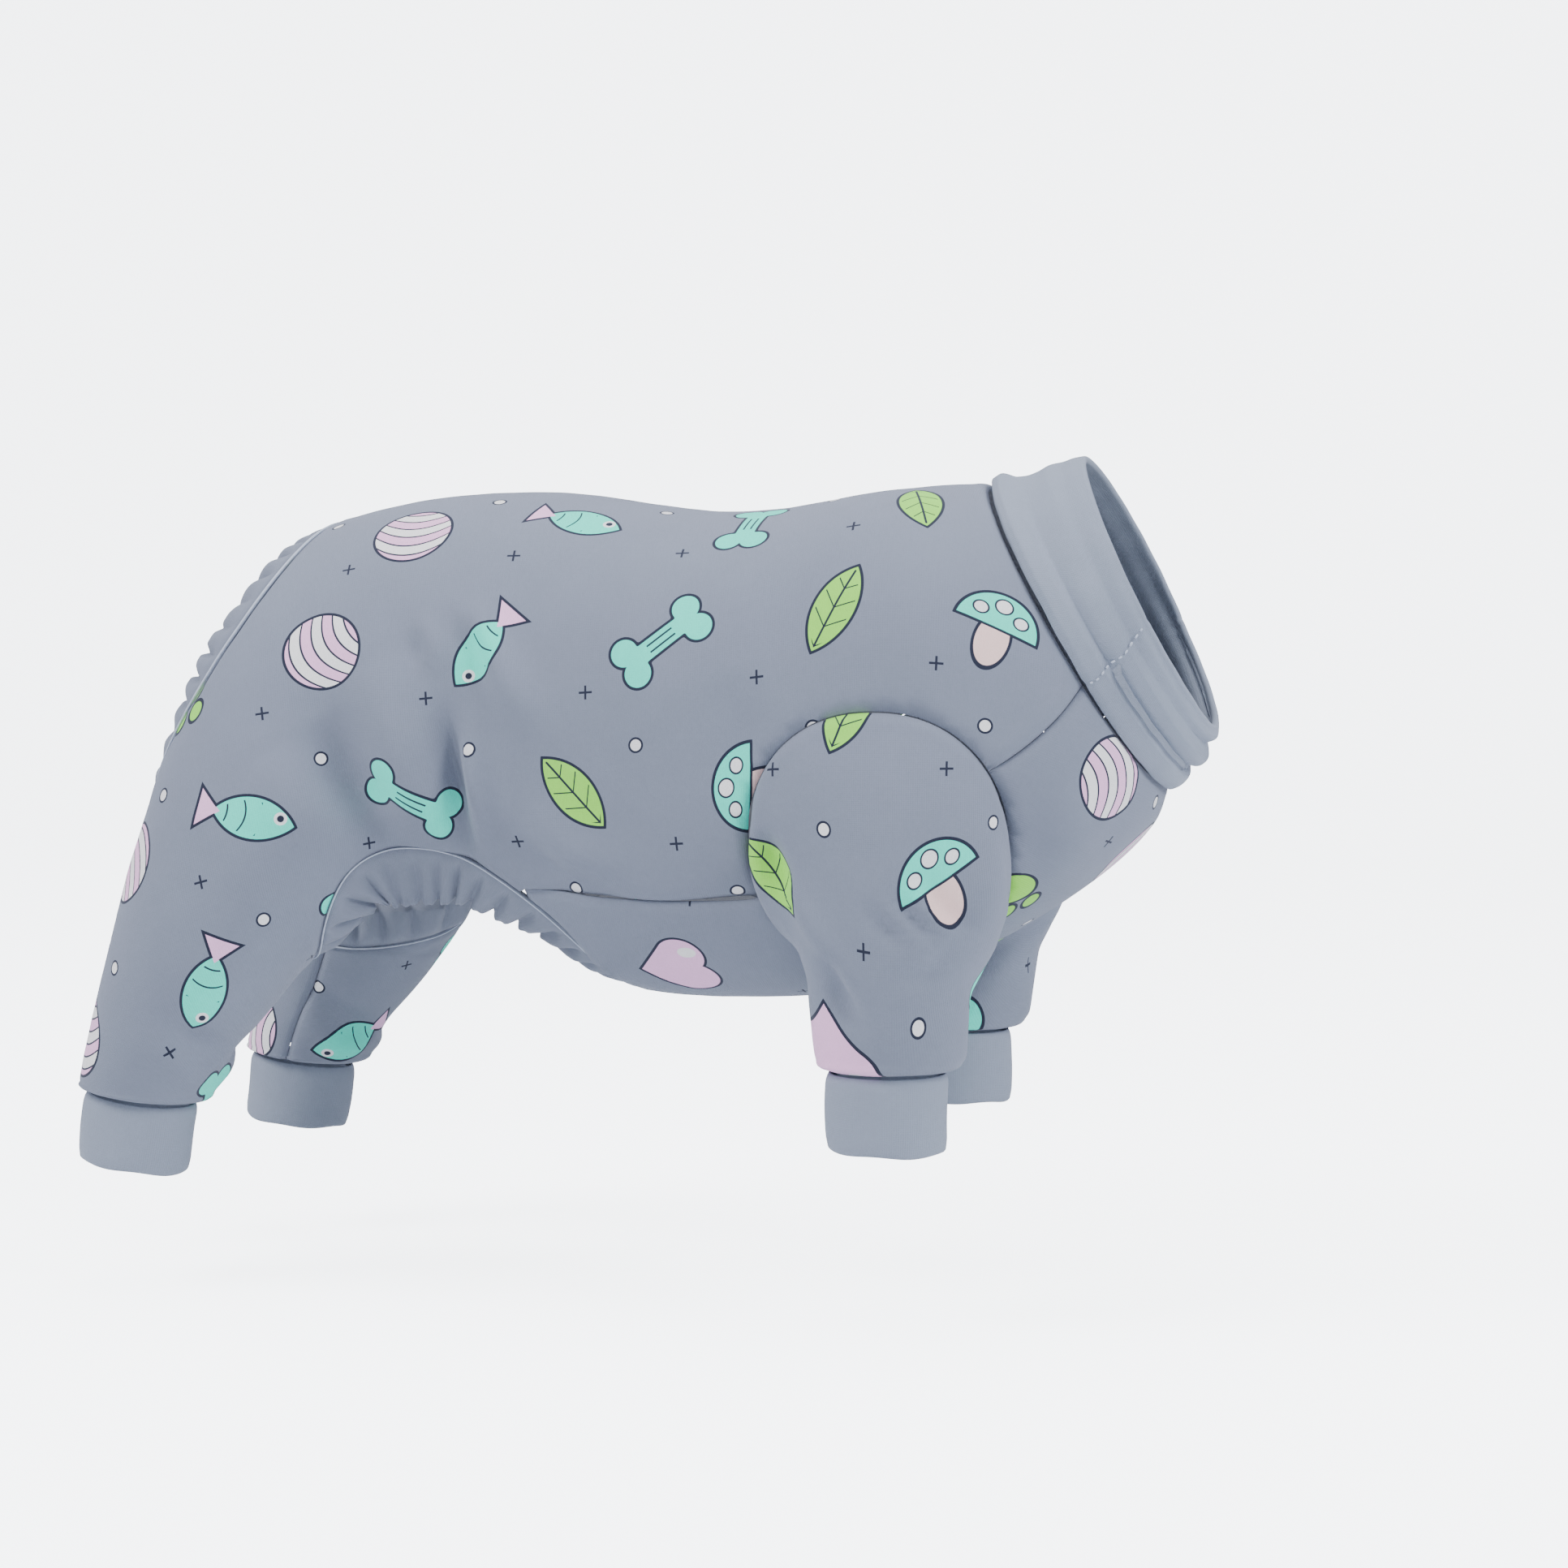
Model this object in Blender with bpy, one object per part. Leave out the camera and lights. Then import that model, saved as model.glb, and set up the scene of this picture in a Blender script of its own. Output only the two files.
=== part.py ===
# Dog jumpsuit, in the shape that it has when it is worn.
# Metres, +Z up, +X towards the head, +Y to the wearer's left.
# The origin is the inner face of the back, at the withers, where the garment rests on the wearer.
import math

import bmesh
import bpy
import numpy as np

# Cloth
CLOTH = 0.0018  # wall of the printed jersey
DOUBLE_CLOTH = 0.0028  # wall of the collar and cuffs, which are sewn double
SEAM_GAP = 0.0006  # clearance between two pieces at their seam

# Body
BACK_LENGTH = 0.224  # withers back to the last point of the back above the tail
CHEST_DEPTH = 0.192  # withers down to the breastbone
CHEST_WIDTH = 0.176
RUMP_REACH = 0.086  # end of the back to the rear of the hind legs
HIND_DROP = 0.230  # withers level down to the hind cuffs' seam
HIND_STANCE = 0.120  # between the middles of the hind legs
THIGH_WIDTH = 0.076
LEFT_HIND_STEP = 0.018  # the left hind leg stands this much further forward

# Front legs
FRONT_STANCE = 0.132
ARMHOLE_LENGTH = 0.093
ARMHOLE_HEIGHT = 0.091
ARMHOLE_X = 0.0085  # middle of the armhole ahead of the withers
ARMHOLE_DROP = 0.127  # middle of the armhole below the withers
SLEEVE_DROP = 0.213  # withers level down to the front cuffs' seam
SLEEVE_WIDTH = 0.062
SLEEVE_GIRTH_X = 0.058  # front to back through the elbow

# Collar and cuffs
NECK_LENGTH = 0.036  # collar's height along the nape
NECK_WIDTH = 0.122
FRONT_CUFF_HEIGHT = 0.029
HIND_CUFF_HEIGHT = 0.027

# Gathered band round the rear opening
BAND_WIDTH = 0.028
BAND_WALL = 0.0016
BAND_GATHERS = 38
GATHER_HEIGHT = 0.0020

# Folds of the worn cloth
FOLD_HEIGHT = 0.0036
FOLD_WIDTH = 0.012

# Each section of the trunk runs down one side from a back point to a front point.
# Lengths along X are shares of BACK_LENGTH, heights are shares of CHEST_DEPTH, and
# the half width is a share of half of CHEST_WIDTH.
TRUNK = (
    # back_x, back_z, front_x, front_z, half_width, squareness
    (0.161, 0.010, 0.455, -0.573, 0.70, 2.10),
    (0.112, 0.010, 0.442, -0.640, 0.79, 2.20),
    (0.056, 0.006, 0.366, -0.738, 0.89, 2.40),
    (-0.013, 0.000, 0.254, -0.832, 0.97, 2.50),
    (-0.098, -0.017, 0.120, -0.925, 1.00, 2.50),
    (-0.188, -0.035, -0.020, -0.990, 1.00, 2.45),
    (-0.299, -0.041, -0.205, -1.010, 0.99, 2.35),
    (-0.415, -0.026, -0.344, -1.014, 0.95, 2.30),
    (-0.531, -0.006, -0.446, -1.000, 0.91, 2.25),
    (-0.652, 0.004, -0.527, -0.950, 0.88, 2.25),
    (-0.754, 0.000, -0.610, -0.905, 0.87, 2.25),
    (-0.848, -0.012, -0.672, -0.866, 0.875, 2.25),
    (-0.930, -0.032, -0.714, -0.850, 0.89, 2.20),
    (-1.000, -0.056, -0.759, -0.844, 0.89, 2.20),
)

# Each section of the hip and hind leg fans round the groin, then runs down the leg.
# Lengths along X are shares of RUMP_REACH behind the end of the back, heights are
# shares of HIND_DROP, the middle is a share of half of HIND_STANCE, and the half
# width is a share of THIGH_WIDTH.
HIP = (
    # back_x, back_z, front_x, front_z, middle, half_width, squareness
    (0.170, -0.096, -0.510, -0.704, 0.20, 0.93, 2.20),
    (0.330, -0.180, -0.405, -0.709, 0.42, 0.83, 2.15),
    (0.450, -0.282, -0.315, -0.718, 0.62, 0.73, 2.15),
    (0.555, -0.392, -0.220, -0.735, 0.78, 0.65, 2.15),
    (0.650, -0.505, -0.128, -0.757, 0.90, 0.585, 2.10),
    (0.745, -0.630, -0.030, -0.790, 0.98, 0.53, 2.10),
    (0.870, -0.795, 0.058, -0.830, 1.00, 0.48, 2.05),
    (0.930, -0.878, 0.175, -0.883, 1.01, 0.43, 2.05),
    (0.990, -0.958, 0.330, -0.948, 1.01, 0.375, 2.00),
    (1.005, -0.985, 0.400, -1.005, 1.00, 0.335, 2.00),
    (0.980, -1.000, 0.490, -1.028, 1.00, 0.275, 2.00),
)

TRUNK_END = len(TRUNK) - 1  # last section whose back point is on the middle line
BELLY_END = 8.0  # section where the belly panel ends on the middle line
CROTCH = 19.8  # section where the leg closes into a tube, at the top of the inseam
LEG_END = float(len(TRUNK) + len(HIP) - 1)

# Edges of the cloth as angles round a section: 0 is its back point, 90 the outer side,
# 180 its front point and 270 the inner side.
INSEAM_DEG = 270.0
TAIL_EDGE_DEG = 42.0  # rear edge at its furthest forward
TAIL_ROUND = 2.0  # sections in which the edge rounds the tail
GROIN_EDGE_DEG = 128.0
GROIN_ROUND = 3.0  # sections in which the edge rounds the belly
THIGH_EDGE_START = 13.0  # section where the front edge begins to turn down the thigh
LEG_START = 16.9  # section where the hind leg's own solid begins
LEG_GAP = 0.03  # half of the clearance there, in sections

# Seam between the back panel and the belly panel, as an angle at a section.
SIDE_SEAM = (
    # section, degrees
    (0.0, 108.0),
    (2.4, 107.0),
    (4.0, 113.0),
    (5.5, 119.0),
    (7.0, 120.5),
    (8.5, 125.0),
    (9.6, 132.6),
)

# Long soft folds, each between two places on the body.
FOLDS = (
    # from_section, from_degrees, to_section, to_degrees, width, height
    (9.3, 42.0, 11.2, 112.0, 1.30, -0.85),
    (8.6, 48.0, 10.6, 116.0, 1.10, 1.00),
    (10.6, 38.0, 12.2, 108.0, 1.30, 0.80),
    (6.6, 92.0, 8.4, 112.0, 1.00, 0.50),
    (3.2, 118.0, 5.6, 128.0, 0.80, -0.50),
    (8.3, 138.0, 6.6, 152.0, 0.90, 0.70),
    (8.2, 152.0, 6.2, 164.0, 0.90, -0.60),
)

# The gathered band at stations of its seam, which run from 0 at the tail to 1 at the
# inseam and to 2 at the belly. Width is a share of BAND_WIDTH. Lean is how far the
# elastic has turned the band's edge into the wearer's body.
BAND = (
    # station, width, lean_degrees
    (0.00, 1.00, 36.0),
    (0.15, 1.00, 27.0),
    (0.35, 0.95, 14.0),
    (0.60, 0.85, 12.0),
    (0.85, 0.70, 12.0),
    (1.00, 0.66, 6.0),
    (1.15, 0.70, 8.0),
    (1.35, 0.85, 6.0),
    (1.60, 0.96, -12.0),
    (1.80, 1.00, 4.0),
    (2.00, 1.00, 10.0),
)

# Rings of a sleeve from the armhole to the cuff. In the front view a ring is a line
# from its outer point to its inner point; in the side view it spans rear_x to front_x.
# out_y and in_y are shares of SLEEVE_WIDTH from the middle of the leg, out_z and in_z
# shares of the drop from the top of the armhole to the cuff, rear_x and front_x shares
# of SLEEVE_GIRTH_X from the middle of the armhole.
SLEEVE = (
    # out_y, out_z, in_y, in_z, rear_x, front_x
    (0.335, 0.000, -0.274, 0.684, -0.795, 0.795),
    (0.410, 0.090, -0.240, 0.700, -0.790, 0.800),
    (0.475, 0.200, -0.200, 0.722, -0.740, 0.800),
    (0.520, 0.350, -0.180, 0.755, -0.600, 0.760),
    (0.540, 0.520, -0.200, 0.795, -0.480, 0.660),
    (0.520, 0.690, -0.260, 0.845, -0.435, 0.560),
    (0.470, 0.840, -0.320, 0.905, -0.435, 0.535),
    (0.420, 0.940, -0.350, 0.960, -0.430, 0.520),
    (0.350, 1.000, -0.340, 1.000, -0.365, 0.390),
)

# Rings of the collar from its seam to its rim. Along and rise follow the nape and are
# shares of NECK_LENGTH, throat is the share of the base ring's length that is left at
# the throat, and width is a share of half of NECK_WIDTH.
COLLAR = (
    # along, rise, throat_x, throat_z, width
    (0.010, 0.000, 0.005, -0.003, 1.000),
    (0.110, 0.110, 0.110, -0.030, 1.045),
    (0.260, 0.080, 0.240, 0.070, 1.030),
    (0.360, 0.090, 0.200, 0.230, 0.980),
    (0.480, 0.130, 0.330, 0.190, 0.985),
    (0.620, 0.200, 0.430, 0.250, 0.965),
    (0.740, 0.220, 0.400, 0.420, 0.930),
    (0.860, 0.260, 0.500, 0.480, 0.920),
    (0.960, 0.280, 0.530, 0.560, 0.905),
)

BODY_COLUMNS = 14  # faces from the back line to the side seam
LEG_COLUMNS = 14
BELLY_COLUMNS = 6
SLEEVE_SIDES = 20
SLEEVE_RINGS = 10
SLEEVE_SEAM_FADE = 1.2  # how soon the rings leave the armhole's shape
ARMHOLE_POWER = 0.93  # 1 is an ellipse, and less fills its corners
CUFF_SIDES = 18
COLLAR_SIDES = 26
BAND_POINTS_PER_GATHER = 4
BAND_ROWS = 2
BAND_LEAN_POWER = 1.6  # how late across the band it begins to lean
BAND_SMOOTHING = 5  # rounds of averaging of the directions along the rim
GATHER_VARIATION = 0.25
WELD = 0.00002  # points closer than this are one

CUFF = (
    # down, swell: rings of a cuff as shares of its height and of its half width
    (0.00, 1.00),
    (0.30, 1.025),
    (0.85, 1.010),
    (1.00, 0.985),
)


def smooth_column(places, values, at):
    """Value of a table's column at a place, on a curve that never overshoots its rows."""
    places = np.asarray(places, float)
    values = np.asarray(values, float)
    step = np.diff(places)
    slope = np.diff(values) / step
    tangent = np.zeros(len(values))
    tangent[0], tangent[-1] = slope[0], slope[-1]
    for i in range(1, len(values) - 1):
        if slope[i - 1] * slope[i] > 0:
            tangent[i] = 2 * slope[i - 1] * slope[i] / (slope[i - 1] + slope[i])
    i = int(np.clip(np.searchsorted(places, at) - 1, 0, len(step) - 1))
    t = (at - places[i]) / step[i]
    return (
        values[i] * (1 + 2 * t) * (1 - t) ** 2
        + tangent[i] * step[i] * t * (1 - t) ** 2
        + values[i + 1] * t * t * (3 - 2 * t)
        + tangent[i + 1] * step[i] * t * t * (t - 1)
    )


def body_rows():
    """Trunk and hip rows in metres: back x, z, front x, z, middle y, half width, squareness."""
    rows = []
    for back_x, back_z, front_x, front_z, half_width, squareness in TRUNK:
        rows.append(
            (
                back_x * BACK_LENGTH,
                CLOTH + back_z * CHEST_DEPTH,
                front_x * BACK_LENGTH,
                CLOTH + front_z * CHEST_DEPTH,
                0.0,
                half_width * CHEST_WIDTH / 2,
                squareness,
            )
        )
    for back_x, back_z, front_x, front_z, middle, half_width, squareness in HIP:
        rows.append(
            (
                -BACK_LENGTH - back_x * RUMP_REACH,
                CLOTH + back_z * HIND_DROP,
                -BACK_LENGTH - front_x * RUMP_REACH,
                CLOTH + front_z * HIND_DROP,
                middle * HIND_STANCE / 2,
                half_width * THIGH_WIDTH,
                squareness,
            )
        )
    return np.array(rows)


ROWS = body_rows()
ROW_PLACES = np.arange(len(ROWS))


def ramp(value):
    """0 below 0, 1 above 1, and smooth in between."""
    t = min(1.0, max(0.0, value))
    return t * t * (3 - 2 * t)


def quarter_round(value):
    """0 to 1 along a quarter of a circle that starts steeply."""
    t = min(1.0, max(0.0, value))
    return math.sqrt(1 - (1 - t) ** 2)


def section(place, side):
    """The section at a place between rows, on the left (side 1) or right (side -1)."""
    row = np.array([smooth_column(ROW_PLACES, ROWS[:, k], place) for k in range(7)])
    if side > 0:
        step = LEFT_HIND_STEP * ramp((place - TRUNK_END) / (CROTCH - TRUNK_END))
        row[0] += step
        row[2] += step
    return row


def signed_power(value, power):
    return math.copysign(abs(value) ** power, value)


def on_section(row, side, degrees):
    """A point of the cloth's outer face at an angle round a section."""
    back_x, back_z, front_x, front_z, middle, half_width, squareness = row
    angle = math.radians(degrees)
    along = signed_power(math.cos(angle), 2 / squareness)
    across = signed_power(math.sin(angle), 2 / squareness)
    return np.array(
        (
            (back_x + front_x) / 2 + along * (back_x - front_x) / 2,
            side * (middle + across * half_width),
            (back_z + front_z) / 2 + along * (back_z - front_z) / 2,
        )
    )


def rear_edge(place):
    """Angle where the cloth begins: the back's middle line, then the edge round the tail."""
    if place <= TRUNK_END:
        return 0.0
    opened = TAIL_EDGE_DEG * quarter_round((place - TRUNK_END) / TAIL_ROUND)
    turn_start = TRUNK_END + TAIL_ROUND
    if place <= turn_start:
        return opened
    closed = INSEAM_DEG - 360
    share = min(1.0, (place - turn_start) / (CROTCH - turn_start))
    return closed + (TAIL_EDGE_DEG - closed) * math.sqrt(1 - share**2)


def front_edge(place):
    """Angle where the cloth ends: the belly's middle line, the groin, then the inner thigh."""
    if place <= BELLY_END:
        return 180.0
    groin = 180 - (180 - GROIN_EDGE_DEG) * quarter_round((place - BELLY_END) / GROIN_ROUND)
    if place <= THIGH_EDGE_START:
        return groin
    share = min(1.0, (place - THIGH_EDGE_START) / (CROTCH - THIGH_EDGE_START))
    return INSEAM_DEG - (INSEAM_DEG - GROIN_EDGE_DEG) * math.sqrt(1 - share**2)


def side_seam(place):
    """Angle of the seam between the back panel and the belly panel."""
    table = np.array(SIDE_SEAM)
    return smooth_column(table[:, 0], table[:, 1], place)


def smooth_point(place, side, degrees):
    """A point of the outer face before the folds."""
    return on_section(section(place, side), side, degrees)


def fold_lines():
    """The folds as lines of points on the right side, with their widths and heights."""
    lines = []
    for start, start_deg, end, end_deg, width, height in FOLDS:
        line = []
        for share in np.linspace(0, 1, 9):
            place = start + (end - start) * share
            degrees = start_deg + (end_deg - start_deg) * share
            line.append(smooth_point(place, -1, degrees))
        lines.append((np.array(line), width * FOLD_WIDTH, height * FOLD_HEIGHT))
    return lines


FOLD_LINES = fold_lines()


def fold_rise(point):
    """How far the folds lift the cloth at a point of the right side."""
    rise = 0.0
    for line, width, height in FOLD_LINES:
        away = np.linalg.norm(line - point, axis=1)
        nearest = int(np.argmin(away))
        along = nearest / (len(line) - 1)
        end_fade = math.sin(math.pi * (0.08 + 0.84 * along))
        rise += height * end_fade * math.exp(-((away[nearest] / width) ** 2))
    return rise


def outward_at(place, side, degrees):
    """Unit direction out of the cloth."""
    later = smooth_point(place + 0.05, side, degrees)
    sooner = smooth_point(place - 0.05, side, degrees)
    onward = smooth_point(place, side, degrees + 1)
    back = smooth_point(place, side, degrees - 1)
    outward = side * np.cross(onward - back, later - sooner)
    return outward / np.linalg.norm(outward)


def body_point(place, side, degrees):
    """A point of the outer face with the folds on it."""
    point = smooth_point(place, side, degrees)
    rise = fold_rise(point * (1, -side, 1))
    return point + outward_at(place, side, degrees) * rise


def gap_degrees(row, length):
    """The angle that a short length takes up on a section."""
    depth = math.hypot(row[0] - row[2], row[1] - row[3]) / 2
    return math.degrees(length / ((depth + row[5]) / 2))


def plain_material(name, colour, roughness):
    material = bpy.data.materials.new(name)
    material.use_nodes = True
    shader = material.node_tree.nodes["Principled BSDF"]
    shader.inputs["Base Color"].default_value = (*colour, 1)
    shader.inputs["Roughness"].default_value = roughness
    shader.inputs["Metallic"].default_value = 0
    return material


def sheet_object(name, patches, wall, material):
    """One object from patches of points, welded where they touch, with a wall's thickness."""
    mesh_maker = bmesh.new()
    for patch in patches:
        lines = [[mesh_maker.verts.new(point) for point in line] for line in patch]
        for line, following in zip(lines, lines[1:]):
            for k in range(len(line) - 1):
                corners = (line[k], line[k + 1], following[k + 1], following[k])
                mesh_maker.faces.new(corners)
    bmesh.ops.remove_doubles(mesh_maker, verts=mesh_maker.verts, dist=WELD)
    bmesh.ops.dissolve_degenerate(mesh_maker, edges=mesh_maker.edges, dist=WELD)
    bmesh.ops.recalc_face_normals(mesh_maker, faces=mesh_maker.faces)
    mesh = bpy.data.meshes.new(name)
    mesh_maker.to_mesh(mesh)
    mesh_maker.free()
    mesh.materials.append(material)
    mesh.shade_smooth()
    made = bpy.data.objects.new(name, mesh)
    bpy.context.collection.objects.link(made)
    thicken = made.modifiers.new("wall", "SOLIDIFY")
    thicken.thickness = wall
    thicken.offset = -1
    thicken.use_even_offset = True
    thicken.use_quality_normals = True
    return made


def spaced(start, end, step):
    count = max(1, round((end - start) / step))
    return [start + (end - start) * k / count for k in range(count + 1)]


def belly_rim_places():
    """Sections along the belly's free edge."""
    start = [BELLY_END, BELLY_END + 0.06, BELLY_END + 0.2, BELLY_END + 0.45]
    return start + spaced(BELLY_END + 0.8, SIDE_SEAM[-1][0], 0.42)


def flank_rim_places():
    """Sections along the groin's edge, from the side seam to the end of the trunk."""
    return spaced(SIDE_SEAM[-1][0], TRUNK_END, 0.7)


def rump_places():
    """Sections from the end of the trunk to the top of the hind leg's own solid."""
    start = [TRUNK_END, TRUNK_END + 0.05, TRUNK_END + 0.17, TRUNK_END + 0.4]
    return start + spaced(TRUNK_END + 0.9, LEG_START, 0.75)


def thigh_places():
    """Sections from the end of the trunk to the top of the inseam."""
    end = [CROTCH - 0.8, CROTCH - 0.4, CROTCH - 0.15, CROTCH - 0.03, CROTCH]
    return rump_places() + spaced(LEG_START, CROTCH - 1.4, 0.75)[1:] + end


def back_panel_patch(side):
    places = spaced(0, BELLY_END, 1.15) + belly_rim_places()[2:-1]
    places += flank_rim_places()[:-1] + rump_places()[:-1] + [LEG_START - LEG_GAP]
    lines = []
    for place in places:
        end = front_edge(place)
        if place <= SIDE_SEAM[-1][0]:
            gap = gap_degrees(section(place, side), SEAM_GAP / 2)
            end = min(end, side_seam(place) - gap)
        angles = np.linspace(rear_edge(place), end, BODY_COLUMNS + 1)
        lines.append([body_point(place, side, angle) for angle in angles])
    return lines


def hind_leg_patch(side):
    places = [LEG_START + LEG_GAP] + thigh_places()[len(rump_places()) :]
    places += spaced(CROTCH, LEG_END, 0.8)[1:]
    lines = []
    for place in places:
        angles = np.linspace(rear_edge(place), front_edge(place), LEG_COLUMNS + 1)
        lines.append([body_point(place, side, angle) for angle in angles])
    return lines


def belly_panel_patch(side):
    lines = []
    for place in spaced(0, BELLY_END, 1.15)[:-1] + belly_rim_places():
        gap = gap_degrees(section(place, side), SEAM_GAP / 2)
        start = side_seam(place) + gap
        end = max(front_edge(place), start + 4 * gap)
        angles = np.linspace(start, end, BELLY_COLUMNS + 1)
        lines.append([body_point(place, side, angle) for angle in angles])
    return lines


def armhole_outline(count, inset):
    """Points (x, z) round the armhole as seen from the side, starting at its top."""
    points = []
    for k in range(count):
        angle = 2 * math.pi * k / count
        points.append(
            (
                ARMHOLE_X + (ARMHOLE_LENGTH / 2 - inset) * signed_power(math.sin(angle), ARMHOLE_POWER),
                CLOTH - ARMHOLE_DROP
                + (ARMHOLE_HEIGHT / 2 - inset) * signed_power(math.cos(angle), ARMHOLE_POWER),
            )
        )
    return points


def beside_body(x, z, side):
    """The body's outer face beside a point of the side view, found between two sections."""
    low, high = 0.0, float(TRUNK_END)
    for _ in range(40):
        place = (low + high) / 2
        back_x, back_z, front_x, front_z = section(place, side)[:4]
        ahead = (x - back_x) * (back_z - front_z) - (back_x - front_x) * (z - back_z)
        if ahead > 0:
            high = place
        else:
            low = place
    row = section(place, side)
    length = math.hypot(row[2] - row[0], row[3] - row[1])
    down = math.hypot(x - row[0], z - row[1]) / length
    along = min(1.0, max(-1.0, 1 - 2 * down))
    angle = math.degrees(math.acos(signed_power(along, row[6] / 2)))
    return body_point(place, side, angle)


def cut_armhole(panel, side):
    """Cuts the armhole through a panel with a prism that lies across the body."""
    outline = armhole_outline(4 * SLEEVE_SIDES, 0)
    inner, outer = side * CHEST_WIDTH / 12, side * CHEST_WIDTH
    mesh_maker = bmesh.new()
    near = [mesh_maker.verts.new((x, inner, z)) for x, z in outline]
    far = [mesh_maker.verts.new((x, outer, z)) for x, z in outline]
    mesh_maker.faces.new(near)
    mesh_maker.faces.new(far[::-1])
    for k in range(len(outline)):
        after = (k + 1) % len(outline)
        mesh_maker.faces.new((near[after], near[k], far[k], far[after]))
    bmesh.ops.recalc_face_normals(mesh_maker, faces=mesh_maker.faces)
    mesh = bpy.data.meshes.new("armhole_cutter")
    mesh_maker.to_mesh(mesh)
    mesh_maker.free()
    cutter = bpy.data.objects.new("armhole_cutter", mesh)
    bpy.context.collection.objects.link(cutter)
    cutter.hide_render = True
    cutter.display_type = "WIRE"
    cut = panel.modifiers.new("armhole", "BOOLEAN")
    cut.object = cutter
    cut.operation = "DIFFERENCE"
    cut.solver = "EXACT"


def ring_between(outer, inner, rear_x, front_x, sides):
    """A ring whose line in the front view runs from outer to inner, and which spans two X."""
    outer, inner = np.array(outer), np.array(inner)
    points = []
    for k in range(sides + 1):
        angle = 2 * math.pi * (k % sides) / sides
        across = (outer + inner) / 2 + math.cos(angle) * (outer - inner) / 2
        x = (front_x + rear_x) / 2 + math.sin(angle) * (front_x - rear_x) / 2
        points.append(np.array((x, across[0], across[1])))
    return points


def sleeve_ring(share, side):
    """The ring of a sleeve at a share of the way from the armhole (0) to the cuff (1)."""
    table = np.array(SLEEVE)
    places = np.linspace(0, 1, len(table))
    out_y, out_z, in_y, in_z, rear, front = (
        smooth_column(places, table[:, k], share) for k in range(6)
    )
    top = CLOTH - ARMHOLE_DROP + ARMHOLE_HEIGHT / 2
    drop = CLOTH - SLEEVE_DROP - top
    middle = side * FRONT_STANCE / 2
    return ring_between(
        (middle + side * out_y * SLEEVE_WIDTH, top + out_z * drop),
        (middle + side * in_y * SLEEVE_WIDTH, top + in_z * drop),
        ARMHOLE_X + rear * SLEEVE_GIRTH_X,
        ARMHOLE_X + front * SLEEVE_GIRTH_X,
        SLEEVE_SIDES,
    )


def sleeve_patch(side):
    """Rings of a sleeve. Its first ring lies on the body inside the armhole."""
    seam = [beside_body(x, z, side) for x, z in armhole_outline(SLEEVE_SIDES, SEAM_GAP)]
    seam.append(seam[0])
    first = sleeve_ring(0, side)
    rings = [seam]
    for k in range(1, SLEEVE_RINGS + 1):
        share = k / SLEEVE_RINGS
        near_seam = (1 - share) ** SLEEVE_SEAM_FADE
        ring = sleeve_ring(share, side)
        rings.append(
            [point + near_seam * (sewn - own) for point, sewn, own in zip(ring, seam, first)]
        )
    return rings


def cuff_patch(back, front, middle, half_width, height, sides):
    """Rings of a cuff that hangs square to the line from back to front (x, z points)."""
    back, front = np.array(back), np.array(front)
    across = (front - back) / np.linalg.norm(front - back)
    down = np.array((across[1], -across[0]))
    if down[1] > 0:
        down = -down
    centre = (back + front) / 2
    half = np.linalg.norm(front - back) / 2
    rings = []
    for drop, swell in CUFF:
        at = centre + down * (SEAM_GAP + drop * (height - SEAM_GAP))
        ring = []
        for k in range(sides + 1):
            angle = 2 * math.pi * (k % sides) / sides
            point = at - across * half * swell * math.cos(angle)
            y = middle + half_width * swell * math.sin(angle)
            ring.append(np.array((point[0], y, point[1])))
        rings.append(ring)
    return rings


def hind_cuff_patch(side):
    row = section(LEG_END, side)
    return cuff_patch(
        row[0:2],
        row[2:4],
        side * row[4],
        row[5],
        HIND_CUFF_HEIGHT,
        CUFF_SIDES,
    )


def front_cuff_patch(side):
    ring = np.array(sleeve_ring(1.0, side))
    low, high = ring.min(axis=0), ring.max(axis=0)
    return cuff_patch(
        (low[0], low[2]),
        (high[0], low[2]),
        (low[1] + high[1]) / 2,
        (high[1] - low[1]) / 2,
        FRONT_CUFF_HEIGHT,
        CUFF_SIDES,
    )


def collar_patch():
    """Rings of the collar, from its seam on the first section to its rim."""
    base = section(0, 1)
    nape, throat = base[0:2], base[2:4]
    down = (throat - nape) / np.linalg.norm(throat - nape)
    ahead = np.array((-down[1], down[0]))
    rings = []
    for along, rise, throat_x, throat_z, width in COLLAR:
        top = nape + NECK_LENGTH * np.array((along, rise))
        bottom = throat + NECK_LENGTH * np.array((throat_x, throat_z))
        if not rings:
            top, bottom = nape + ahead * SEAM_GAP, throat + ahead * SEAM_GAP
        ring = []
        for k in range(COLLAR_SIDES + 1):
            angle = 2 * math.pi * (k % COLLAR_SIDES) / COLLAR_SIDES
            middle = (top + bottom) / 2 + math.cos(angle) * (top - bottom) / 2
            ring.append(
                np.array((middle[0], math.sin(angle) * width * NECK_WIDTH / 2, middle[1]))
            )
        rings.append(ring)
    return rings


def opening_rim(side):
    """Points of the opening's edge with their outward directions and stations."""
    found = []
    for place in thigh_places():
        station = (place - TRUNK_END) / (CROTCH - TRUNK_END)
        found.append((place, rear_edge(place), station))
    front = belly_rim_places()[:-1] + flank_rim_places()[:-1] + thigh_places()[:-1]
    for place in front[::-1]:
        station = 1 + (CROTCH - place) / (CROTCH - BELLY_END)
        found.append((place, front_edge(place), station))
    points = [body_point(place, side, degrees) for place, degrees, _ in found]
    outward = [outward_at(place, side, degrees) for place, degrees, _ in found]
    stations = [station for _, _, station in found]
    return points, outward, stations


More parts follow.
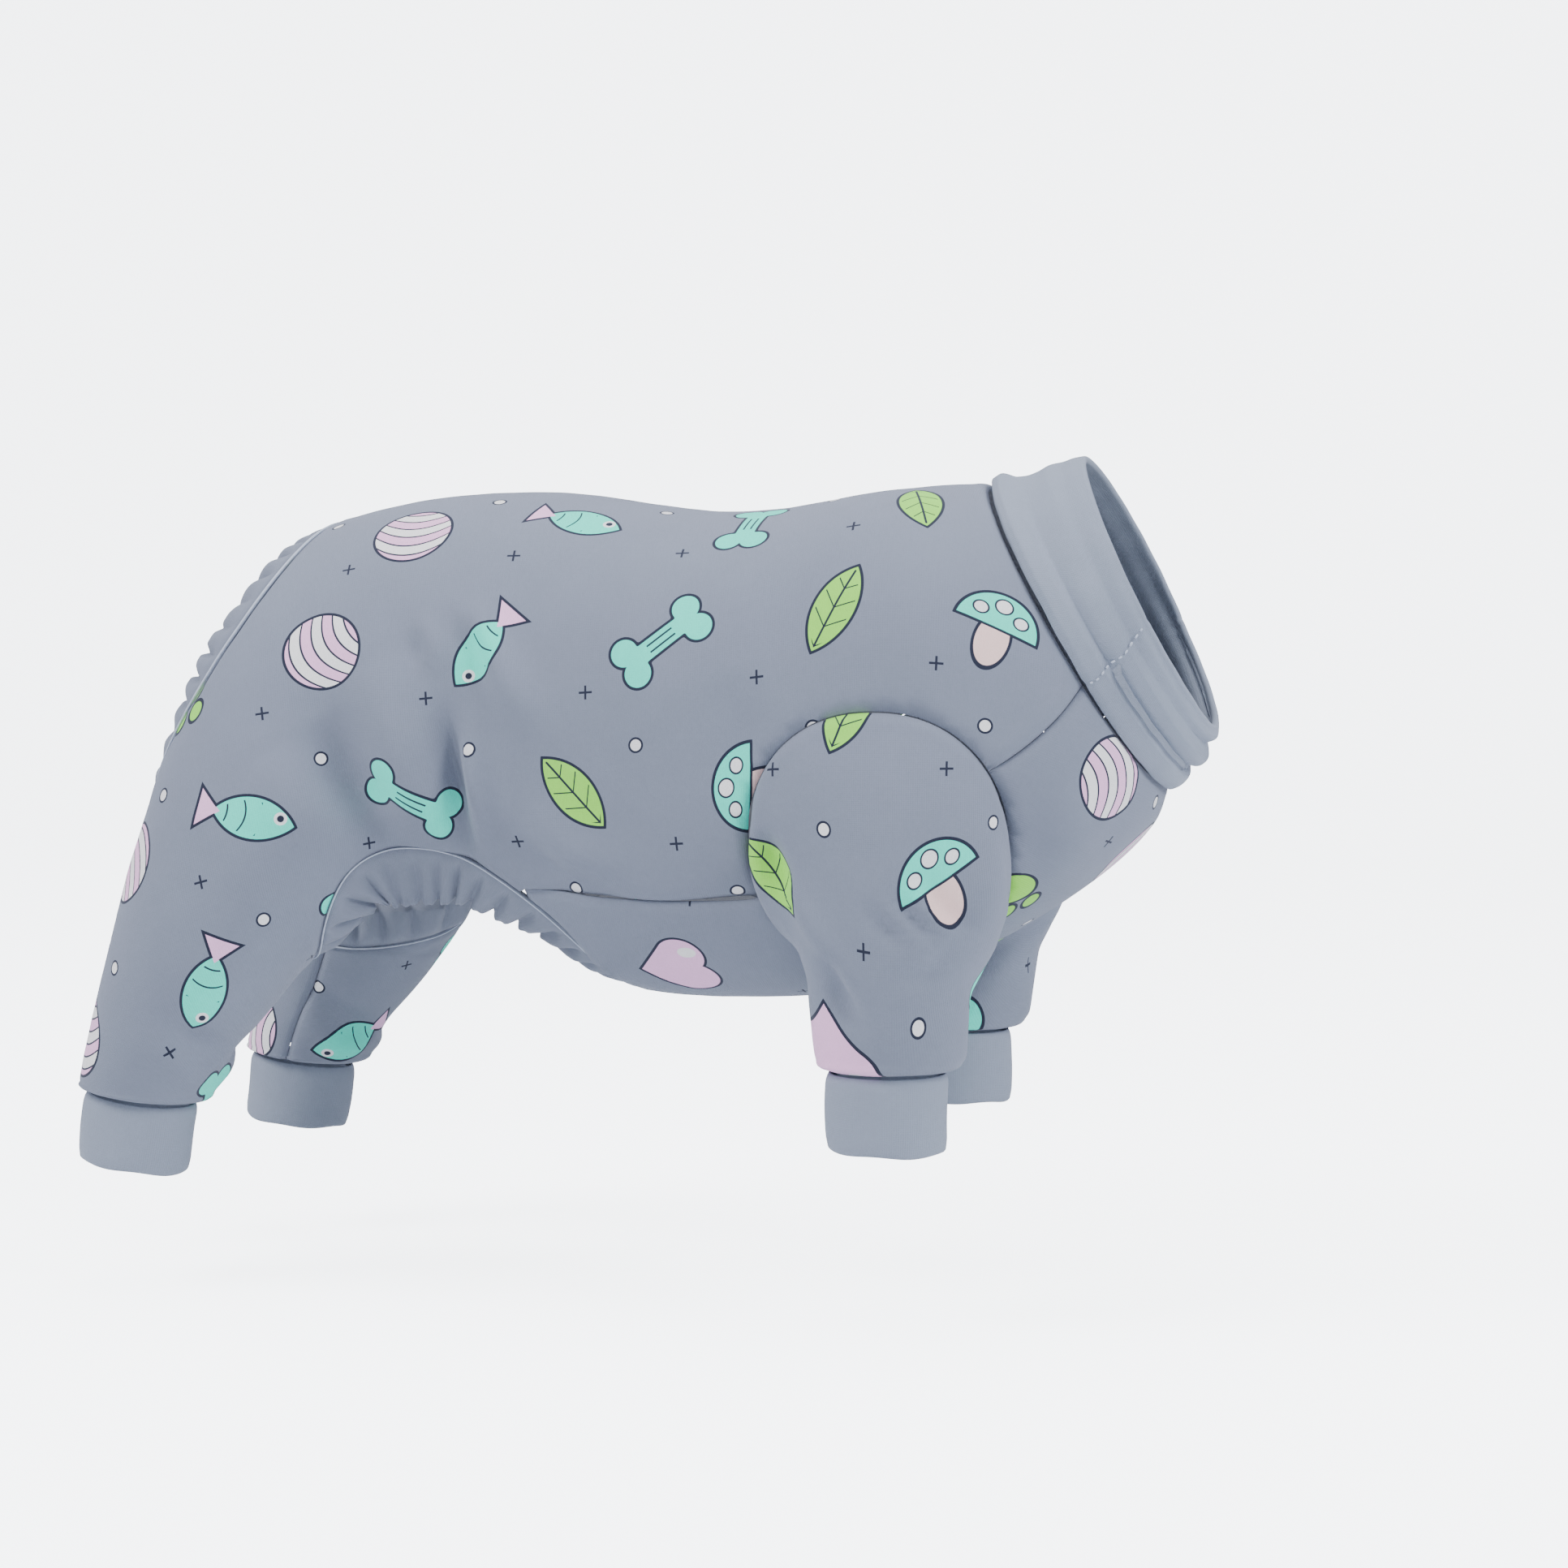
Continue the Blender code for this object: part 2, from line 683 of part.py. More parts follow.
def even_along(points, others, count):
    """Reads a line's points, and other values kept with them, again at even distances."""
    points = np.array(points)
    distance = np.cumsum(np.linalg.norm(np.diff(points, axis=0), axis=1))
    distance = np.concatenate(([0], distance))
    wanted = np.linspace(0, distance[-1], count)
    read = []
    for values in (points, *others):
        columns = np.array(values).reshape(len(points), -1).T
        read.append(np.array([np.interp(wanted, distance, c) for c in columns]).T)
    return read


def directions_smoothed(directions, rounds):
    for _ in range(rounds):
        directions = np.roll(directions, 1, axis=0) + directions + np.roll(directions, -1, axis=0)
        directions /= np.linalg.norm(directions, axis=1)[:, None]
    return directions


def band_patch():
    """The gathered band: a closed strip that runs inwards from the opening's edge."""
    half = BAND_GATHERS * BAND_POINTS_PER_GATHER // 2
    parts = [even_along(points, others, half + 1) for points, *others in map(opening_rim, (1, -1))]
    points, outward, stations = (
        np.concatenate((left[:-1], right[::-1][:-1])) for left, right in zip(*parts)
    )
    tangent = np.roll(points, -1, axis=0) - np.roll(points, 1, axis=0)
    inward = np.cross(outward, tangent)
    inward /= np.linalg.norm(inward, axis=1)[:, None]
    inward = directions_smoothed(inward, BAND_SMOOTHING)
    outward = directions_smoothed(outward, BAND_SMOOTHING)
    table = np.array(BAND)
    lines = []
    for r in range(BAND_ROWS + 1):
        share = r / BAND_ROWS
        line = []
        for k in range(2 * half):
            width = BAND_WIDTH * smooth_column(table[:, 0], table[:, 1], stations[k, 0])
            lean = math.radians(smooth_column(table[:, 0], table[:, 2], stations[k, 0]))
            reach = SEAM_GAP + share * (width - SEAM_GAP)
            turned = lean * share**BAND_LEAN_POWER
            wave = math.cos(2 * math.pi * k / BAND_POINTS_PER_GATHER)
            uneven = 1 - GATHER_VARIATION * (1 - math.sin(1.7 * k))
            lift = GATHER_HEIGHT * wave * share * uneven
            flat = inward[k] * math.cos(turned) - outward[k] * math.sin(turned)
            line.append(points[k] + flat * reach + outward[k] * lift)
        line.append(line[0])
        lines.append(line)
    return lines


def main():
    for made in list(bpy.data.objects):
        bpy.data.objects.remove(made)
    jersey = plain_material("jersey", (0.33, 0.35, 0.40), 0.85)
    rib = plain_material("collar_and_cuff_jersey", (0.35, 0.38, 0.43), 0.8)
    elastic = plain_material("gathered_jersey", (0.31, 0.33, 0.37), 0.85)

    back = sheet_object(
        "back_panel", [back_panel_patch(1), back_panel_patch(-1)], CLOTH, jersey
    )
    belly = sheet_object(
        "belly_panel", [belly_panel_patch(1), belly_panel_patch(-1)], CLOTH, jersey
    )
    for side in (1, -1):
        for panel in (back, belly):
            cut_armhole(panel, side)
    sheet_object("collar", [collar_patch()], DOUBLE_CLOTH, rib)
    sheet_object("opening_band", [band_patch()], BAND_WALL, elastic)
    for side, word in ((1, "left"), (-1, "right")):
        sheet_object("hind_leg_" + word, [hind_leg_patch(side)], CLOTH, jersey)
        sheet_object("sleeve_" + word, [sleeve_patch(side)], CLOTH, jersey)
        sheet_object("front_cuff_" + word, [front_cuff_patch(side)], DOUBLE_CLOTH, rib)
        sheet_object("hind_cuff_" + word, [hind_cuff_patch(side)], DOUBLE_CLOTH, rib)


main()
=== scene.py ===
"""Dog jumpsuit in printed jersey, in the shape that it has when it is worn.
Metres, +Z up, +X towards the collar, +Y to its left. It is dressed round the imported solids."""

import math

import bmesh
import bpy
import numpy as np
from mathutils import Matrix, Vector, kdtree


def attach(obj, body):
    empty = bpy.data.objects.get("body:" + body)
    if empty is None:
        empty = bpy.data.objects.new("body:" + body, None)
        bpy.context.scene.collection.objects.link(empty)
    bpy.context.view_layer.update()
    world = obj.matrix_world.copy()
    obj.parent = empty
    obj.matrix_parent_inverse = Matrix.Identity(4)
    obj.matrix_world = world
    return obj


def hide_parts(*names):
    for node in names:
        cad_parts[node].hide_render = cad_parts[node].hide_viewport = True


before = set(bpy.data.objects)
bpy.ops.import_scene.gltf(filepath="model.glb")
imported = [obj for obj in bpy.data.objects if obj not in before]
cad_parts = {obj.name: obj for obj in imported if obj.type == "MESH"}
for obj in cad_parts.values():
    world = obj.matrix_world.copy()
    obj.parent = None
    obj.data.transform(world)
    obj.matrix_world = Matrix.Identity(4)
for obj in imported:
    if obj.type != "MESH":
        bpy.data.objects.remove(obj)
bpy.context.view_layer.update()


# Back panel
# One cut of brushed cotton jersey that covers the back, the flanks and the outside of both
# hind legs. It is closed under each leg by an inseam, and it hangs smoothly from the
# collar to the hind cuffs.

JERSEY = 0.0018  # thickness of the cloth
HAIRLINE = 0.00012  # how far each cut stops short of its seam
ROW_STEP = 0.13  # between two rows of points, as a share of the way from section to section
BACK_COLUMNS = 62
BACK_LENGTH = 0.224
CHEST_DEPTH = 0.192
CHEST_WIDTH = 0.176
RUMP_REACH = 0.086
HIND_DROP = 0.230
HIND_STANCE = 0.120
THIGH_WIDTH = 0.076
LEFT_HIND_STEP = 0.018  # the left hind leg stands this much further forward

# Sections of the trunk, each from a back point down one side to a front point.
TRUNK = (
    # back_x, back_z, front_x, front_z, half_width, squareness
    (0.161, 0.010, 0.455, -0.573, 0.70, 2.10),
    (0.112, 0.010, 0.442, -0.640, 0.79, 2.20),
    (0.056, 0.006, 0.366, -0.738, 0.89, 2.40),
    (-0.013, 0.000, 0.254, -0.832, 0.97, 2.50),
    (-0.098, -0.017, 0.120, -0.925, 1.00, 2.50),
    (-0.188, -0.035, -0.020, -0.990, 1.00, 2.45),
    (-0.299, -0.041, -0.205, -1.010, 0.99, 2.35),
    (-0.415, -0.026, -0.344, -1.014, 0.95, 2.30),
    (-0.531, -0.006, -0.446, -1.000, 0.91, 2.25),
    (-0.652, 0.004, -0.527, -0.950, 0.88, 2.25),
    (-0.754, 0.000, -0.610, -0.905, 0.87, 2.25),
    (-0.848, -0.012, -0.672, -0.866, 0.875, 2.25),
    (-0.930, -0.032, -0.714, -0.850, 0.89, 2.20),
    (-1.000, -0.056, -0.759, -0.844, 0.89, 2.20),
)
# Sections of the hip and the hind leg, which fan round the groin and run down to the cuff.
HIP = (
    # back_x, back_z, front_x, front_z, middle, half_width, squareness
    (0.170, -0.096, -0.510, -0.704, 0.20, 0.93, 2.20),
    (0.330, -0.180, -0.405, -0.709, 0.42, 0.83, 2.15),
    (0.450, -0.282, -0.315, -0.718, 0.62, 0.73, 2.15),
    (0.555, -0.392, -0.220, -0.735, 0.78, 0.65, 2.15),
    (0.650, -0.505, -0.128, -0.757, 0.90, 0.585, 2.10),
    (0.745, -0.630, -0.030, -0.790, 0.98, 0.53, 2.10),
    (0.870, -0.795, 0.058, -0.830, 1.00, 0.48, 2.05),
    (0.930, -0.878, 0.175, -0.883, 1.01, 0.43, 2.05),
    (0.990, -0.958, 0.330, -0.948, 1.01, 0.375, 2.00),
    (1.005, -0.985, 0.400, -1.005, 1.00, 0.335, 2.00),
    (0.980, -1.000, 0.490, -1.028, 1.00, 0.275, 2.00),
)
TRUNK_END = 13.0
BELLY_END = 8.0
CROTCH = 19.8  # the leg closes into a tube here, at the top of the inseam
LEG_END = 24.0
SIDE_SEAM = ((0, 108), (2.4, 107), (4, 113), (5.5, 119), (7, 120.5), (8.5, 125), (9.6, 132.6))
SEAM_END = 9.6

BODY = np.array(
    [
        (bx * BACK_LENGTH, JERSEY + bz * CHEST_DEPTH, fx * BACK_LENGTH, JERSEY + fz * CHEST_DEPTH,
         0, half * CHEST_WIDTH / 2, square)
        for bx, bz, fx, fz, half, square in TRUNK
    ]
    + [
        (-BACK_LENGTH - bx * RUMP_REACH, JERSEY + bz * HIND_DROP,
         -BACK_LENGTH - fx * RUMP_REACH, JERSEY + fz * HIND_DROP,
         middle * HIND_STANCE / 2, half * THIGH_WIDTH, square)
        for bx, bz, fx, fz, middle, half, square in HIP
    ]
)


def read_table(places, rows, at):
    """Rows of a table read between their places, on curves that never overshoot."""
    places, rows, at = (np.asarray(a, float) for a in (places, rows, at))
    step = np.diff(places)[:, None]
    slope = np.diff(rows, axis=0) / step
    tangent = np.zeros_like(rows)
    tangent[0], tangent[-1] = slope[0], slope[-1]
    same_way = slope[:-1] * slope[1:] > 0
    total = np.where(same_way, slope[:-1] + slope[1:], 1)
    tangent[1:-1] = np.where(same_way, 2 * slope[:-1] * slope[1:] / total, 0)
    i = np.clip(np.searchsorted(places, at) - 1, 0, len(step) - 1)
    t = ((at - places[i]) / step[i, 0])[:, None]
    return (
        rows[i] * (1 + 2 * t) * (1 - t) ** 2
        + tangent[i] * step[i] * t * (1 - t) ** 2
        + rows[i + 1] * t * t * (3 - 2 * t)
        + tangent[i + 1] * step[i] * t * t * (t - 1)
    )


def eased(value):
    """0 below 0, 1 above 1, and smooth in between."""
    t = np.clip(value, 0, 1)
    return t * t * (3 - 2 * t)


def body_rows(place, side):
    """The body's sections at places between the rows, softened a little along the body."""
    place = np.asarray(place, float)
    reach = np.minimum(0.4, np.minimum(place, LEG_END - place))
    every = np.arange(len(BODY))
    rows = read_table(every, BODY, place) / 2
    rows += read_table(every, BODY, place - reach) / 4
    rows += read_table(every, BODY, place + reach) / 4
    if side > 0:
        step = LEFT_HIND_STEP * eased((place - TRUNK_END) / (CROTCH - TRUNK_END))
        rows[:, 0] += step
        rows[:, 2] += step
    return rows


def raised(value, power):
    """A power of a value's size, with the value's own sign."""
    return np.sign(value) * np.abs(value) ** power


def body_points(places, degrees, side):
    """Points of the body at places (n) and at angles round each section (n, m)."""
    rows = body_rows(places, side)[:, None, :]
    back_x, back_z, front_x, front_z, middle, half, square = (rows[..., k] for k in range(7))
    angle = np.radians(degrees)
    along = raised(np.cos(angle), 2 / square)
    across = raised(np.sin(angle), 2 / square)
    x = (back_x + front_x) / 2 + along * (back_x - front_x) / 2
    z = (back_z + front_z) / 2 + along * (back_z - front_z) / 2
    return np.stack((x, side * (middle + across * half), z), axis=-1)


def quarter_round(value):
    """Rises from 0 to 1 along a quarter of a circle, steep at first."""
    return np.sqrt(1 - (1 - np.clip(value, 0, 1)) ** 2)


def rear_edge(place):
    """Angle where the cloth begins: the middle of the back, then the edge round the tail."""
    share = np.clip((place - 15) / (CROTCH - 15), 0, 1)
    opened = 42 * quarter_round((place - TRUNK_END) / 2)
    return np.where(place <= 15, opened, -90 + 132 * np.sqrt(1 - share**2))


def front_edge(place):
    """Angle where the cloth ends: the middle of the belly, the groin, then the inner thigh."""
    groin = 180 - 52 * quarter_round((place - BELLY_END) / 3)
    share = np.clip((place - TRUNK_END) / (CROTCH - TRUNK_END), 0, 1)
    return np.where(place <= TRUNK_END, groin, 270 - 142 * np.sqrt(1 - share**2))


def side_seam(place):
    """Angle of the seam between the back panel and the belly panel."""
    table = np.array(SIDE_SEAM, float)
    return read_table(table[:, 0], table[:, 1:], np.minimum(place, SEAM_END))[:, 0]


def per_degree(places, side):
    """Length of the cloth that a degree of a section takes up."""
    rows = body_rows(places, side)
    depth = np.hypot(rows[:, 0] - rows[:, 2], rows[:, 1] - rows[:, 3]) / 2
    return np.radians(1) * (depth + rows[:, 5]) / 2


def close_at(places, stops):
    """Adds places close together beside each stop, where an edge turns."""
    near = [stop + way * gap for stop in stops for way in (-1, 1) for gap in (0, 0.004, 0.02, 0.05)]
    keep = [p for p in near if places[0] < p < places[-1]]
    return np.unique(np.round(np.concatenate((places, keep)), 5))


def close_at_edges(count):
    """Shares from 0 to 1, with two more inside the first and the last step."""
    step = 1 / count
    extra = (0.3 * step, 0.65 * step, 1 - 0.65 * step, 1 - 0.3 * step)
    return np.sort(np.concatenate((np.linspace(0, 1, count + 1), extra)))


def cloth_between(places, start, end, columns, side):
    """A grid of points from one edge of a cut to the other."""
    degrees = start[:, None] + (end - start)[:, None] * close_at_edges(columns)
    return body_points(places, degrees, side)


def puffed(rings, growth):
    """Widens rings about their middles, where cloth bulges over a cuff."""
    centre = rings.mean(axis=1, keepdims=True)
    return centre + (rings - centre) * (1 + growth[:, None, None])


def back_panel_grid(side):
    """One half of the cut, from the collar to the hind cuff."""
    places = close_at(np.arange(0, LEG_END + 0.01, ROW_STEP), (BELLY_END, TRUNK_END, CROTCH))
    hairline = HAIRLINE / per_degree(places, side)
    start = rear_edge(places) + np.where(places > TRUNK_END, hairline, 0)
    end = front_edge(places) - hairline
    end = np.where(places < SEAM_END, np.minimum(end, side_seam(places) - hairline), end)
    grid = cloth_between(places, start, end, BACK_COLUMNS, side)
    above_cuff = (places - 23.45) / 0.22
    return puffed(grid, 0.055 * np.exp(-(above_cuff**2)))


def grid_mesh(grids):
    """One open sheet from a grid of points for each side, joined on the middle line."""
    sheet = bmesh.new()
    for grid, side in grids:
        lines = [[sheet.verts.new(point) for point in line] for line in grid]
        for line, following in zip(lines, lines[1:]):
            for k in range(len(line) - 1):
                corners = (line[k], line[k + 1], following[k + 1], following[k])
                sheet.faces.new(corners if side > 0 else corners[::-1])
    bmesh.ops.remove_doubles(sheet, verts=sheet.verts, dist=0.00001)
    bmesh.ops.dissolve_degenerate(sheet, edges=sheet.edges, dist=0.00001)
    sheet.normal_update()
    return sheet


ARMHOLE_X = 0.0085
ARMHOLE_Z = JERSEY - 0.127
ARMHOLE_LENGTH = 0.093
ARMHOLE_HEIGHT = 0.091
ARMHOLE_POWER = 0.93


def armhole_line(count, inset):
    """Points (x, z) round the armhole in the side view, from its lowest point round."""
    angle = np.linspace(-math.pi, math.pi, count)
    x = ARMHOLE_X + (ARMHOLE_LENGTH / 2 - inset) * raised(np.sin(angle), ARMHOLE_POWER)
    z = ARMHOLE_Z + (ARMHOLE_HEIGHT / 2 - inset) * raised(np.cos(angle), ARMHOLE_POWER)
    return np.stack((x, z), axis=-1)


def in_armhole(x, z):
    """Below 1 inside the armhole, 1 on its line and more outside."""
    power = 2 / ARMHOLE_POWER
    across = abs(x - ARMHOLE_X) / (ARMHOLE_LENGTH / 2)
    up = abs(z - ARMHOLE_Z) / (ARMHOLE_HEIGHT / 2)
    return (across**power + up**power) ** (1 / power)


def cut_armholes(sheet):
    """Takes out the cloth inside both armholes and brings the cut edge onto their line."""
    inside = [f for f in sheet.faces if in_armhole(*f.calc_center_median().xz) < 1]
    bmesh.ops.delete(sheet, geom=inside, context="FACES")
    sheet.normal_update()
    for vert in sheet.verts:
        if vert.is_boundary and 0.85 < in_armhole(*vert.co.xz) < 1.15:
            share = in_armhole(*vert.co.xz)
            x = ARMHOLE_X + (vert.co.x - ARMHOLE_X) / share
            z = ARMHOLE_Z + (vert.co.z - ARMHOLE_Z) / share
            slope = vert.normal.x * (x - vert.co.x) + vert.normal.z * (z - vert.co.z)
            vert.co = (x, vert.co.y - slope / vert.normal.y, z)


# Folds as lines on the near flank in the side view (x, z), in millimetres.
FLANK_FOLDS = (
    # line, width, height
    (((-154, -47), (-146, -58), (-139, -73)), 5.0, -5.13),
    (((-153, -44), (-138, -63), (-120, -88)), 8.0, 5.94),
    (((-167, -46), (-163, -57), (-161, -67)), 5.0, 2.97),
    (((-170, -50), (-167, -58), (-165, -64)), 4.5, -2.43),
    (((-155, -82), (-154, -100), (-152, -116), (-151, -134)), 5.0, -9.72),
    (((-149, -90), (-147, -110), (-147, -131)), 5.0, 5.94),
    (((-186, -62), (-176, -88), (-168, -112), (-166, -128)), 12.0, 7.02),
    (((-205, -84), (-196, -104), (-184, -122)), 9.0, -5.13),
    (((-222, -96), (-208, -122), (-194, -138)), 12.0, 4.59),
    (((-128, -118), (-108, -134), (-84, -142)), 10.0, 4.05),
    (((-132, -128), (-112, -143), (-88, -150)), 6.0, -4.05),
    (((-250, -120), (-246, -150), (-244, -180)), 12.0, -2.43),
    (((-262, -196), (-248, -214), (-236, -224)), 6.0, -4.32),
    (((-268, -206), (-256, -222), (-246, -230)), 6.0, 3.78),
    (((-46, -66), (-40, -90), (-44, -112)), 11.0, -2.97),
    (((-30, -140), (-44, -152), (-66, -158)), 7.0, -3.24),
)


def fold_rise(points, outward, folds, shift):
    """How far folds drawn in the side view lift the cloth, on what faces the side."""
    rise = np.zeros(len(points))
    for line, width, height in folds:
        line = np.array(line, float) / 1000
        line[:, 0] += shift
        best = np.full(len(points), 1e9)
        along = np.zeros(len(points))
        for k, (a, b) in enumerate(zip(line, line[1:])):
            way = b - a
            t = np.clip(((points[:, [0, 2]] - a) @ way) / (way @ way), 0, 1)
            away = np.linalg.norm(points[:, [0, 2]] - a - t[:, None] * way, axis=1)
            along = np.where(away < best, (k + t) / (len(line) - 1), along)
            best = np.minimum(best, away)
        fade = np.sin(np.pi * (0.06 + 0.88 * along))
        rise += height / 1000 * fade * np.exp(-((best / (width / 1000)) ** 2))
    return rise * eased(np.abs(outward[:, 1]) * 1.5)


def waves(points, size):
    """Soft unevenness between -1 and 1 with lumps of about this size."""
    total = np.zeros(len(points))
    for k, way in enumerate(((1, 0.4, 0.7), (-0.5, 1, 0.6), (0.3, -0.8, 1), (0.9, 0.7, -0.6))):
        total += np.sin(points @ np.array(way) * (2 * math.pi / size) * (1 + 0.23 * k) + 1.9 * k)
    return total / 4


def distance_to(points, line):
    """Distance of each point from the nearest point of a seam."""
    tree = kdtree.KDTree(len(line))
    for k, point in enumerate(line):
        tree.insert(point, k)
    tree.balance()
    return np.array([tree.find(point)[2] for point in points])


def rolled_in(away, depth):
    """Cloth dips where it is sewn and puffs up a little beside the seam."""
    dip = depth * np.exp(-((away / 0.0013) ** 2))
    puff = 0.28 * depth * np.exp(-(((away - 0.0042) / 0.0024) ** 2))
    return puff - dip


def seam_points(points):
    """A seam's points read again every half millimetre."""
    points = np.array(points, float)
    length = np.concatenate(([0], np.cumsum(np.linalg.norm(np.diff(points, axis=0), axis=1))))
    wanted = np.arange(0, length[-1], 0.0005)
    return np.stack([np.interp(wanted, length, points[:, k]) for k in range(3)], axis=-1)


def beside_body(x, z, side):
    """The body beside points of the side view, found between two sections."""
    low, high = np.zeros(len(x)), np.full(len(x), TRUNK_END)
    for _ in range(40):
        place = (low + high) / 2
        rows = body_rows(place, side)
        ahead = (x - rows[:, 0]) * (rows[:, 1] - rows[:, 3])
        ahead -= (rows[:, 0] - rows[:, 2]) * (z - rows[:, 1])
        high = np.where(ahead > 0, place, high)
        low = np.where(ahead > 0, low, place)
    rows = body_rows(place, side)
    length = np.hypot(rows[:, 2] - rows[:, 0], rows[:, 3] - rows[:, 1])
    down = np.hypot(x - rows[:, 0], z - rows[:, 1]) / length
    along = np.clip(1 - 2 * down, -1, 1)
    angle = np.degrees(np.arccos(raised(along, rows[:, 6] / 2)))
    return body_points(place, angle[:, None], side)[:, 0]


def armhole_seam(side):
    """The armhole's line, laid on the body."""
    line = armhole_line(500, 0)
    return beside_body(line[:, 0], line[:, 1], side)


def press_folds(sheet, seams, folds):
    """Moves the cloth along its normals for folds, unevenness and rolled-in seams."""
    sheet.normal_update()
    points = np.array([v.co for v in sheet.verts])
    outward = np.array([v.normal for v in sheet.verts])
    near = points[:, 1] < 0
    rise = np.where(
        near,
        fold_rise(points, outward, folds, 0),
        0.85 * fold_rise(points, outward, folds, 0.009),
    )
    rise += 0.00035 * waves(points, 0.075) + 0.00010 * waves(points[:, [1, 2, 0]], 0.021)
    rise += rolled_in(distance_to(points, np.concatenate(seams)), 0.0011)
    for vert, lift, way in zip(sheet.verts, rise, outward):
        vert.co += Vector(way * lift)


def panel_seams(grids):
    """Seams along the real edges of a panel's grids, and round the armholes."""
    seams = [armhole_seam(1), armhole_seam(-1)]
    for grid, _ in grids:
        for line in (grid[0], grid[:, -1], grid[:, 0], grid[-1]):
            kept = line[np.abs(line[:, 1]) > 0.0004]
            if len(kept) > 1:
                seams.append(seam_points(kept))
    return seams


def lay_flat(piece, corner):
    """Unwraps a sheet to its flat cut, in metres, with the print's grain along the body."""
    mesh = piece.data
    bpy.context.view_layer.objects.active = piece
    piece.select_set(True)
    bpy.ops.object.mode_set(mode="EDIT")
    bpy.ops.mesh.select_all(action="SELECT")
    bpy.ops.uv.unwrap(method="MINIMUM_STRETCH", iterations=12, margin=0)
    bpy.ops.object.mode_set(mode="OBJECT")
    piece.select_set(False)
    layer = mesh.uv_layers.active
    uv = np.zeros(len(mesh.loops) * 2)
    layer.data.foreach_get("uv", uv)
    uv = uv.reshape(-1, 2)
    flat_area = 0.0
    real_area = 0.0
    for face in mesh.polygons:
        flat = uv[list(face.loop_indices)]
        turned = np.roll(flat, -1, axis=0)
        flat_area += abs(np.sum(flat[:, 0] * turned[:, 1] - turned[:, 0] * flat[:, 1])) / 2
        real_area += face.area
    uv = (uv - uv.mean(axis=0)) * math.sqrt(real_area / flat_area)
    verts = np.zeros(len(mesh.loops), int)
    mesh.loops.foreach_get("vertex_index", verts)
    x = np.array([v.co.x for v in mesh.vertices])[verts]
    pull = (uv * (x - x.mean())[:, None]).sum(axis=0)
    turn = -math.atan2(pull[1], pull[0])
    cos, sin = math.cos(turn), math.sin(turn)
    uv = uv @ np.array(((cos, sin), (-sin, cos))) + np.array(corner)
    layer.data.foreach_set("uv", uv.ravel())


def made_piece(name, sheet, thickness, finishes):
    """Turns a sheet into an object with a wall's thickness. finishes are its outside and inside."""
    mesh = bpy.data.meshes.new(name)
    sheet.to_mesh(mesh)
    sheet.free()
    for finish in finishes:
        mesh.materials.append(finish)
    mesh.shade_smooth()
    piece = bpy.data.objects.new(name, mesh)
    bpy.context.scene.collection.objects.link(piece)
    wall = piece.modifiers.new("wall", "SOLIDIFY")
    wall.thickness = thickness
    wall.offset = -1
    wall.use_even_offset = False
    wall.material_offset = len(finishes) - 1
    return piece


def math_in(tree):
    """A function that adds a math node to a tree and returns what it puts out."""

    def calc(operation, *values):
        node = tree.nodes.new("ShaderNodeMath")
        node.operation = operation
        for socket, value in zip(node.inputs, values):
            if isinstance(value, (int, float)):
                socket.default_value = value
            else:
                tree.links.new(value, socket)
        return node.outputs[0]

    return calc


def new_group(name, inputs, outputs):
    """A shader node group with its sockets, and its input and output nodes."""
    tree = bpy.data.node_groups.new(name, "ShaderNodeTree")
    for label, kind, value in inputs:
        socket = tree.interface.new_socket(label, in_out="INPUT", socket_type=kind)
        if value is not None:
            socket.default_value = value
    for label, kind in outputs:
        tree.interface.new_socket(label, in_out="OUTPUT", socket_type=kind)
    return tree, tree.nodes.new("NodeGroupInput"), tree.nodes.new("NodeGroupOutput")


WALE_WIDTH = 0.00085
COURSE_HEIGHT = 0.00065


